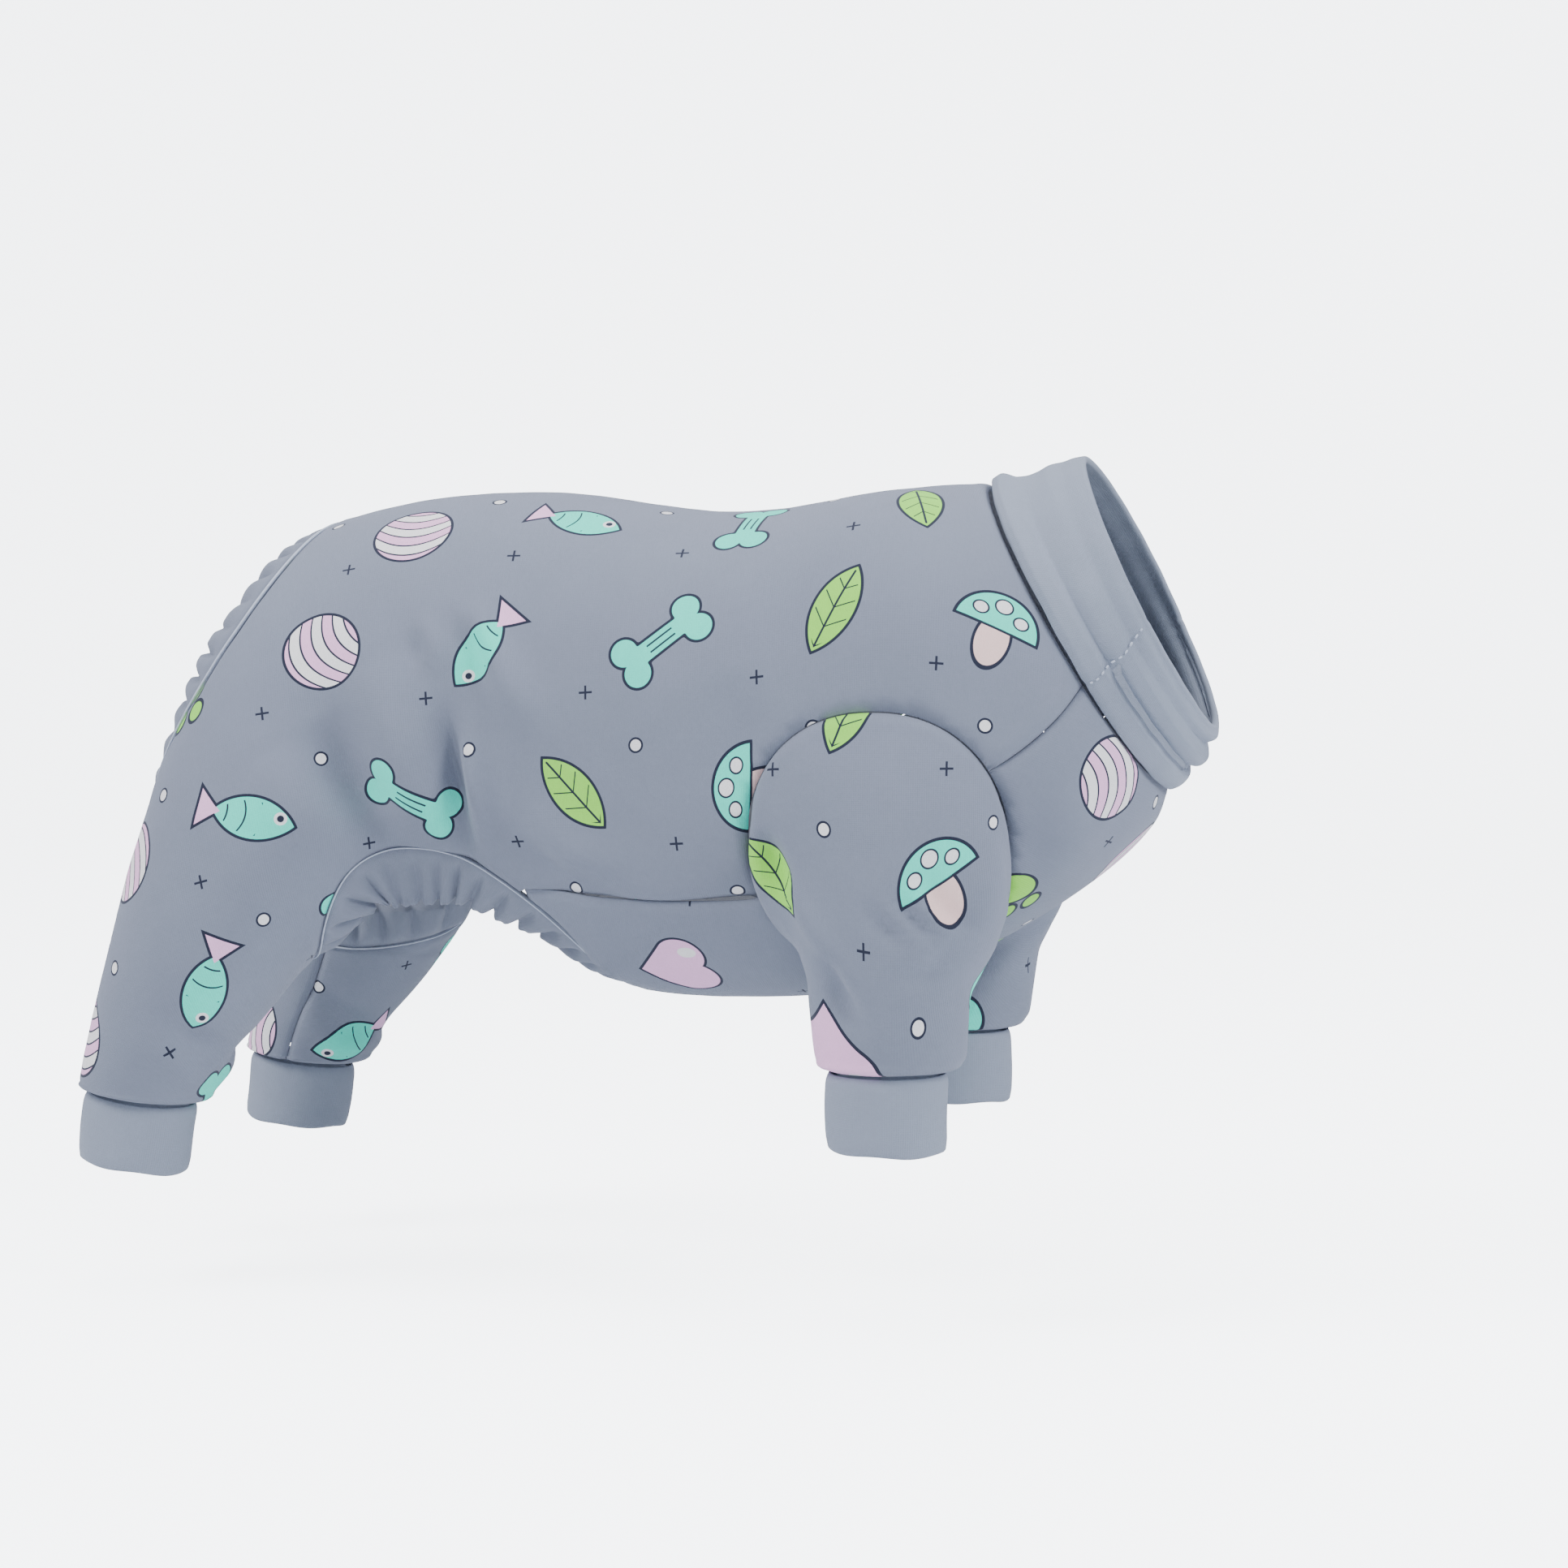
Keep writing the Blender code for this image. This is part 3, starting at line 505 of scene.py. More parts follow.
def print_group():
    """Playful motifs in ink outlines, on a staggered layout, over the cloth's own colour.
    Its place is on the flat cut, in metres. Inside, lengths are in millimetres."""
    tree, given, put = new_group(
        "jersey_print",
        (("Flat", "NodeSocketVector", None), ("Cloth", "NodeSocketColor", (0.3, 0.3, 0.4, 1))),
        (("Color", "NodeSocketColor"), ("Ink", "NodeSocketFloat")),
    )
    links = tree.links
    calc = math_in(tree)

    def vector(operation, *values):
        """Adds a vector math node and returns what it puts out."""
        node = tree.nodes.new("ShaderNodeVectorMath")
        node.operation = operation
        for socket, value in zip(node.inputs, values):
            if isinstance(value, tuple):
                socket.default_value = value
            else:
                links.new(value, socket)
        return node.outputs["Value" if operation in ("DISTANCE", "LENGTH") else "Vector"]

    def parts(of):
        """The X and the Y of a place."""
        node = tree.nodes.new("ShaderNodeSeparateXYZ")
        links.new(of, node.inputs[0])
        return node.outputs[0], node.outputs[1]

    def joined(x, y):
        """A place from its X and Y."""
        node = tree.nodes.new("ShaderNodeCombineXYZ")
        for socket, value in zip(node.inputs, (x, y)):
            links.new(value, socket)
        return node.outputs[0]

    def disc(at, x, y, radius):
        """Distance from a disc's edge, below 0 inside it."""
        return calc("SUBTRACT", vector("DISTANCE", at, (x, y, 0.0)), radius)

    def oval(at, x, y, wide, tall):
        """A disc squeezed to its width and height, read in the narrower of the two."""
        narrow = min(wide, tall)
        moved = vector("SUBTRACT", at, (x, y, 0.0))
        squeezed = vector("MULTIPLY", moved, (narrow / wide, narrow / tall, 1.0))
        return calc("SUBTRACT", vector("LENGTH", squeezed), narrow)

    def least(*values):
        """The smallest of some distances, which joins their shapes."""
        found = values[0]
        for value in values[1:]:
            found = calc("MINIMUM", found, value)
        return found

    def inside(value, edge=0.0):
        """1 where a distance is below the edge, with a soft step of a tenth of a millimetre."""
        node = tree.nodes.new("ShaderNodeMapRange")
        links.new(value, node.inputs["Value"])
        node.inputs["From Min"].default_value = edge - 0.06
        node.inputs["From Max"].default_value = edge + 0.06
        node.inputs["To Min"].default_value = 1
        node.inputs["To Max"].default_value = 0
        return node.outputs[0]

    def stroke(value, half):
        """1 on a line where a distance is 0, this far to each side."""
        return inside(calc("ABSOLUTE", value), half)

    def painted(under, mask, colour):
        """A colour laid over another where the mask is 1."""
        node = tree.nodes.new("ShaderNodeMix")
        node.data_type = "RGBA"
        links.new(mask, node.inputs["Factor"])
        for socket, value in ((node.inputs[6], under), (node.inputs[7], colour)):
            if isinstance(value, tuple):
                socket.default_value = (*value, 1)
            else:
                links.new(value, socket)
        return node.outputs[2]

    lime, mint, teal = (0.33, 0.86, 0.11), (0.09, 0.93, 0.72), (0.02, 0.55, 0.50)
    pink, blush = (0.98, 0.56, 0.90), (0.98, 0.70, 0.68)
    white, ink = (0.95, 0.95, 0.98), (0.02, 0.025, 0.05)

    # Which cell of the layout, and where in it
    wide, tall = 66.0, 57.0
    u, v = parts(given.outputs["Flat"])
    up = calc("MULTIPLY", v, 1000 / tall)
    row = calc("FLOOR", up)
    stagger = calc("MULTIPLY", calc("FLOORED_MODULO", row, 2.0), 0.5)
    shifted = calc("ADD", calc("MULTIPLY", u, 1000 / wide), stagger)
    column = calc("FLOOR", shifted)
    x = calc("MULTIPLY", calc("SUBTRACT", calc("SUBTRACT", shifted, column), 0.5), wide)
    y = calc("MULTIPLY", calc("SUBTRACT", calc("SUBTRACT", up, row), 0.5), tall)
    number = calc("ADD", calc("MULTIPLY", column, 3.0), calc("MULTIPLY", row, 5.0))
    kind = calc("FLOORED_MODULO", number, 8.0)
    chance = tree.nodes.new("ShaderNodeTexWhiteNoise")
    chance.noise_dimensions = "3D"
    links.new(joined(column, row), chance.inputs["Vector"])
    off_middle = vector("SUBTRACT", chance.outputs["Color"], (0.5, 0.5, 0.5))
    jitter = vector("MULTIPLY", off_middle, (10.0, 7.0, 0.0))
    turn = tree.nodes.new("ShaderNodeVectorRotate")
    turn.rotation_type = "Z_AXIS"
    shrunk = vector("MULTIPLY", vector("SUBTRACT", joined(x, y), jitter), (0.85, 0.85, 0.0))
    links.new(shrunk, turn.inputs["Vector"])
    links.new(calc("MULTIPLY", chance.outputs["Value"], 2 * math.pi), turn.inputs["Angle"])
    at = turn.outputs[0]
    px, py = parts(at)
    mirror = joined(calc("ABSOLUTE", px), py)
    both = joined(calc("ABSOLUTE", px), calc("ABSOLUTE", py))

    motifs = []  # distance from the motif's edge, its fill, and its inner ink lines

    # Paw print
    pads = least(
        oval(mirror, 0.0, -4.5, 9.0, 7.0),
        oval(mirror, 4.6, 7.2, 3.3, 4.4),
        oval(mirror, 11.4, 1.6, 3.0, 4.0),
    )
    motifs.append((pads, lime, None))

    # Bone, with two short lines along its shaft
    ax, ay = parts(both)
    shaft = calc("MAXIMUM", calc("SUBTRACT", ay, 3.6), calc("SUBTRACT", ax, 11.5))
    bone = calc("SMOOTH_MIN", shaft, disc(both, 11.8, 4.1, 4.9), 1.2)
    grain = calc("MAXIMUM", calc("ABSOLUTE", calc("SUBTRACT", ay, 1.2)), calc("SUBTRACT", ax, 4.5))
    motifs.append((bone, mint, inside(grain, 0.3)))

    # Heart, with a light patch
    lifted = vector("SUBTRACT", mirror, (0.0, -2.2, 0.0))
    hx, hy = parts(lifted)
    point = calc("MULTIPLY", calc("SUBTRACT", calc("ADD", hx, calc("ABSOLUTE", hy)), 11.6), 0.707)
    heart = least(point, disc(lifted, 5.8, 5.8, 8.2))
    shine = inside(oval(at, -7.2, 6.4, 2.4, 3.2))
    motifs.append((heart, painted(pink, shine, white), None))

    # Ball with curved stripes
    bend = calc("ADD", px, calc("MULTIPLY", calc("MULTIPLY", py, py), 0.035))
    band = calc("SUBTRACT", calc("PINGPONG", bend, 4.2), 2.1)
    motifs.append((disc(at, 0.0, 0.0, 13.0), painted(pink, inside(band), white), stroke(band, 0.32)))

    # Leaf, with its ribs
    leaf = calc("MAXIMUM", disc(at, 0.0, 12.5, 19.5), disc(at, 0.0, -12.5, 19.5))
    rib = calc("SUBTRACT", calc("PINGPONG", calc("SUBTRACT", px, calc("MULTIPLY", ay, 0.8)), 3.2), 0.25)
    ribs = calc("MAXIMUM", inside(rib), inside(ay, 0.35))
    motifs.append((leaf, lime, calc("MULTIPLY", ribs, inside(leaf, -1.3))))

    # Flower with five petals
    angle = calc("ARCTAN2", py, px)
    folded = calc("SUBTRACT", calc("FLOORED_MODULO", angle, 2 * math.pi / 5), math.pi / 5)
    away = vector("LENGTH", at)
    petal_x = calc("MULTIPLY", away, calc("COSINE", folded))
    petal_y = calc("MULTIPLY", away, calc("SINE", folded))
    petal = joined(petal_x, petal_y)
    flower = disc(petal, 8.0, 0.0, 5.8)
    eye = disc(at, 0.0, 0.0, 4.4)
    blossom = painted(painted(mint, inside(eye, -0.2), pink), inside(disc(at, 0.0, 0.0, 1.6)), white)
    motifs.append((least(flower, eye), blossom, stroke(eye, 0.35)))

    # Fish, with scales, a plain tail and an eye
    body = calc("MAXIMUM", disc(at, 2.5, 10.0, 17.0), disc(at, 2.5, -10.0, 17.0))
    spread = calc("ADD", calc("MULTIPLY", ay, 0.78), calc("MULTIPLY", calc("ADD", px, 8.0), 0.62))
    tail = calc("MAXIMUM", spread, calc("SUBTRACT", -16.5, px))
    fish = least(body, tail)
    scales = calc("PINGPONG", calc("ADD", px, calc("MULTIPLY", calc("MULTIPLY", py, py), 0.06)), 3.0)
    middle = inside(calc("ABSOLUTE", calc("SUBTRACT", px, -2.0)), 6.5)
    marks = calc("MULTIPLY", inside(scales, 0.28), middle)
    pupil = inside(disc(at, 11.0, 1.6, 1.1))
    coat = painted(teal, inside(calc("SUBTRACT", px, -6.5)), pink)
    coat = painted(painted(mint, inside(spread, -0.2), coat), inside(disc(at, 11.0, 1.6, 2.1)), white)
    motifs.append((fish, coat, calc("MAXIMUM", calc("MULTIPLY", marks, inside(body, -1.5)), pupil)))

    # Mushroom: a spotted cap on a stalk
    cap = calc("MAXIMUM", oval(at, 0.0, -1.0, 13.5, 12.0), calc("SUBTRACT", -1.0, py))
    stalk = calc("MAXIMUM", oval(at, 0.0, -5.0, 5.6, 9.0), calc("SUBTRACT", py, -0.2))
    spots = least(oval(mirror, 6.6, 3.8, 2.4, 2.0), oval(mirror, 0.0, 6.8, 2.8, 2.4))
    hat = painted(painted(blush, inside(cap), mint), inside(spots), white)
    motifs.append((least(cap, stalk), hat, calc("MAXIMUM", stroke(cap, 0.35), stroke(spots, 0.25))))

    far_away = 99.0
    edge, fill, lines = None, (1.0, 1.0, 1.0), None
    for index, (distance, colour, inner) in enumerate(motifs):
        chosen = calc("COMPARE", kind, float(index), 0.5)
        fill = painted(fill, chosen, colour)
        here = calc("MULTIPLY", distance, chosen)
        edge = here if edge is None else calc("ADD", edge, here)
        if inner is not None:
            line = calc("MULTIPLY", inner, chosen)
            lines = line if lines is None else calc("ADD", lines, line)
    shown = inside(edge)
    outline = stroke(edge, 0.46)
    motif_ink = calc("MAXIMUM", calc("MULTIPLY", lines, shown), outline)

    # Small marks between the motifs: an outlined dot and a plus
    spot = joined(x, y)
    dot = disc(spot, 27.0, 17.5, 2.5)
    cross_x, cross_y = parts(vector("ABSOLUTE", vector("SUBTRACT", spot, (-25.5, -19.0, 0.0))))
    upright = calc("MAXIMUM", calc("SUBTRACT", cross_x, 0.42), calc("SUBTRACT", cross_y, 2.6))
    level = calc("MAXIMUM", calc("SUBTRACT", cross_x, 2.6), calc("SUBTRACT", cross_y, 0.42))
    plus = inside(least(upright, level))
    dots_here = calc("LESS_THAN", calc("FLOORED_MODULO", number, 3.0), 1.5)
    dot = calc("ADD", dot, calc("MULTIPLY", calc("SUBTRACT", 1.0, dots_here), far_away))

    colour = painted(given.outputs["Cloth"], shown, fill)
    colour = painted(colour, inside(dot), white)
    every_line = calc("MAXIMUM", calc("MAXIMUM", motif_ink, stroke(dot, 0.4)), plus)
    colour = painted(colour, every_line, ink)
    covered = calc("MAXIMUM", calc("MAXIMUM", shown, inside(dot, 0.4)), every_line)
    links.new(colour, put.inputs["Color"])
    links.new(covered, put.inputs["Ink"])
    return tree


def knit_group():
    """Brushed jersey: fine wales, loose fibres and a cloudy shade. Its place is in metres."""
    tree, given, put = new_group(
        "brushed_knit",
        (("Flat", "NodeSocketVector", None), ("Cloth", "NodeSocketColor", (0.3, 0.3, 0.4, 1))),
        (("Color", "NodeSocketColor"), ("Height", "NodeSocketFloat"), ("Roughness", "NodeSocketFloat")),
    )
    links = tree.links
    calc = math_in(tree)

    def noise(scale, detail, distortion):
        """Cloudy noise on the flat cut."""
        node = tree.nodes.new("ShaderNodeTexNoise")
        node.inputs["Scale"].default_value = scale
        node.inputs["Detail"].default_value = detail
        node.inputs["Distortion"].default_value = distortion
        links.new(given.outputs["Flat"], node.inputs["Vector"])
        return node.outputs["Fac"]

    cloud = noise(38.0, 3.0, 0.4)
    fibre = noise(2300.0, 2.0, 1.2)
    nap = noise(520.0, 2.0, 0.6)
    split = tree.nodes.new("ShaderNodeSeparateXYZ")
    links.new(given.outputs["Flat"], split.inputs[0])
    wale = calc("SINE", calc("MULTIPLY", split.outputs[0], 2 * math.pi / WALE_WIDTH))
    course = calc("SINE", calc("MULTIPLY", split.outputs[1], 2 * math.pi / COURSE_HEIGHT))
    stitch = calc("MULTIPLY", calc("ADD", wale, calc("MULTIPLY", course, 0.6)), 0.22)
    height = calc("ADD", calc("ADD", calc("MULTIPLY", fibre, 0.7), calc("MULTIPLY", nap, 0.5)), stitch)
    shade = calc("ADD", calc("MULTIPLY", cloud, 0.10), calc("MULTIPLY", fibre, 0.14))
    shade = calc("ADD", shade, calc("MULTIPLY", nap, 0.08))
    shade = calc("ADD", shade, 0.84)
    tint = tree.nodes.new("ShaderNodeVectorMath")
    tint.operation = "SCALE"
    links.new(given.outputs["Cloth"], tint.inputs[0])
    links.new(shade, tint.inputs["Scale"])
    links.new(tint.outputs[0], put.inputs["Color"])
    links.new(height, put.inputs["Height"])
    links.new(calc("ADD", calc("MULTIPLY", nap, 0.12), 0.80), put.inputs["Roughness"])
    return tree


PRINT = print_group()
KNIT = knit_group()


def new_finish(name):
    """A material, its node tree and its shader."""
    finish = bpy.data.materials.new(name)
    finish.use_nodes = True
    return finish, finish.node_tree, finish.node_tree.nodes["Principled BSDF"]


def jersey(name, colour, printed, bump):
    """A cloth finish: the knit, with or without the print on it, and a soft sheen."""
    finish, tree, shader = new_finish(name)
    flat = tree.nodes.new("ShaderNodeUVMap")
    knit = tree.nodes.new("ShaderNodeGroup")
    knit.node_tree = KNIT
    knit.inputs["Cloth"].default_value = (*colour, 1)
    tree.links.new(flat.outputs[0], knit.inputs["Flat"])
    if printed:
        motifs = tree.nodes.new("ShaderNodeGroup")
        motifs.node_tree = PRINT
        motifs.inputs["Cloth"].default_value = (*colour, 1)
        tree.links.new(flat.outputs[0], motifs.inputs["Flat"])
        tree.links.new(motifs.outputs["Color"], knit.inputs["Cloth"])
    height = tree.nodes.new("ShaderNodeBump")
    height.inputs["Strength"].default_value = bump
    height.inputs["Distance"].default_value = 0.00025
    tree.links.new(knit.outputs["Height"], height.inputs["Height"])
    tree.links.new(height.outputs[0], shader.inputs["Normal"])
    tree.links.new(knit.outputs["Color"], shader.inputs["Base Color"])
    tree.links.new(knit.outputs["Roughness"], shader.inputs["Roughness"])
    shader.inputs["Specular IOR Level"].default_value = 0.25
    shader.inputs["Sheen Weight"].default_value = 0.22
    shader.inputs["Sheen Roughness"].default_value = 0.45
    shader.inputs["Sheen Tint"].default_value = (0.86, 0.88, 1.0, 1)
    return finish


printed_jersey = jersey("printed_jersey", (0.226, 0.256, 0.340), True, 0.35)
jersey_inside = jersey("jersey_inside", (0.36, 0.38, 0.44), False, 0.6)

back_grids = [(back_panel_grid(side), side) for side in (1, -1)]
back_sheet = grid_mesh(back_grids)
cut_armholes(back_sheet)
press_folds(back_sheet, panel_seams(back_grids), FLANK_FOLDS)
back_panel = made_piece("back_panel_cloth", back_sheet, JERSEY, (printed_jersey, jersey_inside))
lay_flat(back_panel, (0.011, 0.020))
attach(back_panel, "root")
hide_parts("back_panel", "hind_leg_left", "hind_leg_right")


# Belly panel
# A narrower cut of the same jersey, sewn to the back panel along both sides. It covers the
# chest and the belly and ends in a free edge, where the gathered band is sewn on.

BELLY_COLUMNS = 30


def belly_panel_grid(side):
    """One half of the cut, from the collar to where the side seam ends."""
    places = close_at(np.arange(0, SEAM_END - 0.02, ROW_STEP), (BELLY_END,))
    hairline = HAIRLINE / per_degree(places, side)
    start = side_seam(places) + hairline
    end = np.maximum(front_edge(places), start + 2 * hairline)
    return cloth_between(places, start, end, BELLY_COLUMNS, side)


BELLY_FOLDS = (
    (((-146, -158), (-120, -176), (-92, -184), (-60, -188)), 6.0, 3.24),
    (((-140, -166), (-114, -184), (-88, -190)), 4.0, -3.24),
    (((-132, -172), (-108, -188), (-84, -193)), 4.0, 2.70),
    (((52, -116), (60, -132), (56, -148)), 8.0, -1.89),
    (((70, -104), (78, -122), (74, -134)), 8.0, 2.16),
)

belly_grids = [(belly_panel_grid(side), side) for side in (1, -1)]
belly_sheet = grid_mesh(belly_grids)
cut_armholes(belly_sheet)
press_folds(belly_sheet, panel_seams(belly_grids), BELLY_FOLDS)
belly_panel = made_piece("belly_panel_cloth", belly_sheet, JERSEY, (printed_jersey, jersey_inside))
lay_flat(belly_panel, (0.520, 0.031))
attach(belly_panel, "root")
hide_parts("belly_panel")


# Sleeves
# A tube of the printed jersey for each front leg, set into the armhole. It is roomy at the
# shoulder, bends into soft creases at the elbow and puffs a little above the cuff.

SLEEVE_DROP = 0.213
SLEEVE_WIDTH = 0.062
SLEEVE_GIRTH_X = 0.058
FRONT_STANCE = 0.132
SLEEVE_SIDES = 110
SLEEVE = (
    # out_y, out_z, in_y, in_z, rear_x, front_x
    (0.335, 0.000, -0.274, 0.684, -0.795, 0.795),
    (0.410, 0.090, -0.240, 0.700, -0.790, 0.800),
    (0.475, 0.200, -0.200, 0.722, -0.740, 0.800),
    (0.520, 0.350, -0.180, 0.755, -0.600, 0.760),
    (0.540, 0.520, -0.200, 0.795, -0.480, 0.660),
    (0.520, 0.690, -0.260, 0.845, -0.435, 0.560),
    (0.470, 0.840, -0.320, 0.905, -0.435, 0.535),
    (0.420, 0.940, -0.350, 0.960, -0.430, 0.520),
    (0.350, 1.000, -0.340, 1.000, -0.365, 0.390),
)
SLEEVE_FOLDS = (
    (((-23, -138), (-12, -155), (3, -181)), 5.0, 3.78),
    (((-33, -122), (-28, -134), (-21, -146)), 5.5, -6.48),
    (((-8, -166), (-3, -180), (5, -191)), 4.5, -5.94),
    (((8, -148), (17, -157), (23, -161)), 3.0, -1.89),
    (((18, -145), (27, -154), (35, -160)), 3.2, -2.43),
    (((29, -137), (37, -151), (47, -158)), 3.4, -2.16),
    (((14, -146), (22, -156), (29, -161)), 3.0, 1.35),
    (((23, -142), (32, -153), (40, -159)), 3.2, 1.62),
    (((52, -130), (50, -148), (45, -164)), 6.0, 2.43),
    (((40, -164), (30, -172), (20, -174)), 4.0, -2.16),
)


def sleeve_rings(side, shares, sides):
    """Rings from the armhole (0) to the cuff (1), each from its inner line round to it again."""
    rows = read_table(np.linspace(0, 1, len(SLEEVE)), SLEEVE, shares)[:, :, None]
    angle = np.linspace(-math.pi, math.pi, sides)
    top = ARMHOLE_Z + ARMHOLE_HEIGHT / 2
    drop = JERSEY - SLEEVE_DROP - top
    middle = side * FRONT_STANCE / 2
    out_y, in_y = (middle + side * rows[:, k] * SLEEVE_WIDTH for k in (0, 2))
    out_z, in_z = (top + rows[:, k] * drop for k in (1, 3))
    rear, ahead = (ARMHOLE_X + rows[:, k] * SLEEVE_GIRTH_X for k in (4, 5))
    y = (out_y + in_y) / 2 + np.cos(angle) * (out_y - in_y) / 2
    z = (out_z + in_z) / 2 + np.cos(angle) * (out_z - in_z) / 2
    x = (ahead + rear) / 2 + np.sin(angle) * (ahead - rear) / 2
    return np.stack((x, y, z), axis=-1)


def sleeve_grid(side):
    """The sleeve's points, whose first ring lies on the armhole's seam."""
    shares = np.concatenate(([0, 0.004, 0.012, 0.022], np.linspace(0.035, 0.985, 62), [0.992, 1.0]))
    line = armhole_line(SLEEVE_SIDES, 0.00015)
    seam = beside_body(line[:, 0], line[:, 1], side)
    above_cuff = (shares - 0.955) / 0.03
    rings = puffed(sleeve_rings(side, shares, SLEEVE_SIDES), 0.05 * np.exp(-(above_cuff**2)))
    fade = (1 - shares) ** 1.2
    return rings + fade[:, None, None] * (seam - rings[0])


for side, word in ((1, "left"), (-1, "right")):
    sleeve_points = sleeve_grid(side)
    sleeve_sheet = grid_mesh([(sleeve_points, side)])
    ends = [seam_points(sleeve_points[0]), seam_points(sleeve_points[-1])]
    press_folds(sleeve_sheet, ends, SLEEVE_FOLDS)
    sleeve = made_piece("sleeve_cloth_" + word, sleeve_sheet, JERSEY, (printed_jersey, jersey_inside))
    lay_flat(sleeve, (0.215 if side < 0 else 0.63, 0.33))
    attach(sleeve, "root")
    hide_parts("sleeve_" + word)


# Collar
# A turned-over tube of plain jersey, sewn double to the neck. It stands up along the nape,
# and its slack falls into puffs at the throat.

NECK_LENGTH = 0.036
NECK_WIDTH = 0.122
DOUBLE = 0.0028  # both layers together
LAYER = 0.0012  # one of them
COLLAR_SIDES = 176
JOIN_AT = 109.0  # degrees from the nape round to the join on each side, at the base
JOIN_LEAN = 6.0  # degrees that the join has turned back by at the rim
COLLAR = (
    # along, rise, throat_x, throat_z, width
    (0.010, 0.000, 0.005, -0.003, 1.000),
    (0.110, 0.110, 0.110, -0.030, 1.045),
    (0.260, 0.080, 0.240, 0.070, 1.030),
    (0.360, 0.090, 0.200, 0.230, 0.980),
    (0.480, 0.130, 0.330, 0.190, 0.985),
    (0.620, 0.200, 0.430, 0.250, 0.965),
    (0.740, 0.220, 0.400, 0.420, 0.930),
    (0.860, 0.260, 0.500, 0.480, 0.920),
    (0.960, 0.280, 0.530, 0.560, 0.905),
)


def collar_rings(sides):
    """Rings of the collar's outer face, from its seam to its rim."""
    shares = np.concatenate(([0, 0.006, 0.015, 0.03], np.linspace(0.05, 1, 64)))
    rows = read_table(np.linspace(0, 1, len(COLLAR)), COLLAR, shares)
    base = body_rows([0.0], 1)[0]
    nape, throat = base[0:2], base[2:4]
    angle = np.linspace(0, 2 * math.pi, sides, endpoint=False)
    high = nape + NECK_LENGTH * rows[:, 0:2]
    low = throat + NECK_LENGTH * rows[:, 2:4]
    middle, reach = (high + low) / 2, (high - low) / 2
    x = middle[:, :1] + reach[:, :1] * np.cos(angle)
    z = middle[:, 1:] + reach[:, 1:] * np.cos(angle)
    y = rows[:, 4:] * np.sin(angle) * NECK_WIDTH / 2
    return np.stack((x, y, z), axis=-1)


def outward_of(rings):
    """Unit directions out of a tube of rings, and along it away from its first ring."""
    round_it = np.roll(rings, -1, axis=1) - np.roll(rings, 1, axis=1)
    along = np.gradient(rings, axis=0)
    outward = np.cross(round_it, along)
    outward /= np.linalg.norm(outward, axis=2)[..., None]
    along /= np.linalg.norm(along, axis=2)[..., None]
    centre = rings.mean(axis=1, keepdims=True)
    if (outward * (rings - centre)).sum() < 0:
        outward = -outward
    return outward, along


def doubled(rings):
    """Carries a tube over its rim and back down inside, as cloth that is folded double."""
    outward, along = outward_of(rings)
    turn = np.linspace(0, math.pi, 9)[1:-1, None, None]
    half = DOUBLE / 2
    rim = rings[-1] - outward[-1] * half * (1 - np.cos(turn)) + along[-1] * half * np.sin(turn)
    inner = (rings - outward * DOUBLE)[::-2]
    return np.concatenate((rings, rim, inner))


def tube_piece(name, rings, thickness, finishes):
    """A piece from closed rings. Its flat place runs round the tube and along it."""
    sheet = bmesh.new()
    flat = sheet.loops.layers.uv.new("flat")
    count = rings.shape[1]
    lines = [[sheet.verts.new(point) for point in ring] for ring in rings]
    girth = np.linalg.norm(np.roll(rings, -1, axis=1) - rings, axis=2).sum(axis=1).max()
    steps = np.linalg.norm(np.diff(rings, axis=0), axis=2).mean(axis=1)
    down = np.concatenate(([0], np.cumsum(steps)))
    outward, _ = outward_of(rings)
    for r in range(len(lines) - 1):
        for k in range(count):
            corners = [(r, k), (r, k + 1), (r + 1, k + 1), (r + 1, k)]
            a, b, c = (rings[i, j % count] for i, j in corners[:3])
            if r == 0 and k == 0:
                flip = np.dot(np.cross(b - a, c - b), outward[0, 0]) < 0
            if flip:
                corners.reverse()
            face = sheet.faces.new([lines[i][j % count] for i, j in corners])
            for loop, (i, j) in zip(face.loops, corners):
                loop[flat].uv = (girth * j / count, down[i])
    sheet.normal_update()
    return made_piece(name, sheet, thickness, finishes)


def lifted_rings(rings, rise):
    """A tube's rings moved outward by a height at each point."""
    outward, _ = outward_of(rings)
    return rings + outward * rise[..., None]


plain_jersey = jersey("plain_jersey", (0.284, 0.326, 0.420), False, 0.35)

collar_points = collar_rings(COLLAR_SIDES)
collar_turn = np.linspace(0, 2 * math.pi, COLLAR_SIDES, endpoint=False)[None, :]
collar_down = np.linspace(0, 1, len(collar_points))[:, None]
collar_at = collar_points.reshape(-1, 3)
wrinkles = 0.00030 * waves(collar_at * (1, 1, 1.5), 0.034).reshape(collar_points.shape[:2])
throat_share = eased(0.5 - np.cos(collar_turn) * 0.8)
wrinkles += 0.0008 * throat_share * np.sin(collar_down * 17 + 1.3 * np.sin(collar_turn * 2))
base_gap = np.linalg.norm(collar_points - collar_points[0], axis=2)
wrinkles += rolled_in(base_gap, 0.0009) + 0.0009 * np.exp(-(((base_gap - 0.0022) / 0.0012) ** 2))
join_angle = np.radians(JOIN_AT - JOIN_LEAN * collar_down)
for join in (join_angle, 2 * math.pi - join_angle):
    off_join = np.abs(collar_turn - join) * NECK_WIDTH / 2
    wrinkles -= 0.0005 * np.exp(-((off_join / 0.0011) ** 2)) * eased(collar_down * 12)
collar_points = lifted_rings(collar_points, wrinkles)
collar = tube_piece("collar_cloth", doubled(collar_points), LAYER, (plain_jersey,))
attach(collar, "root")
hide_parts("collar")


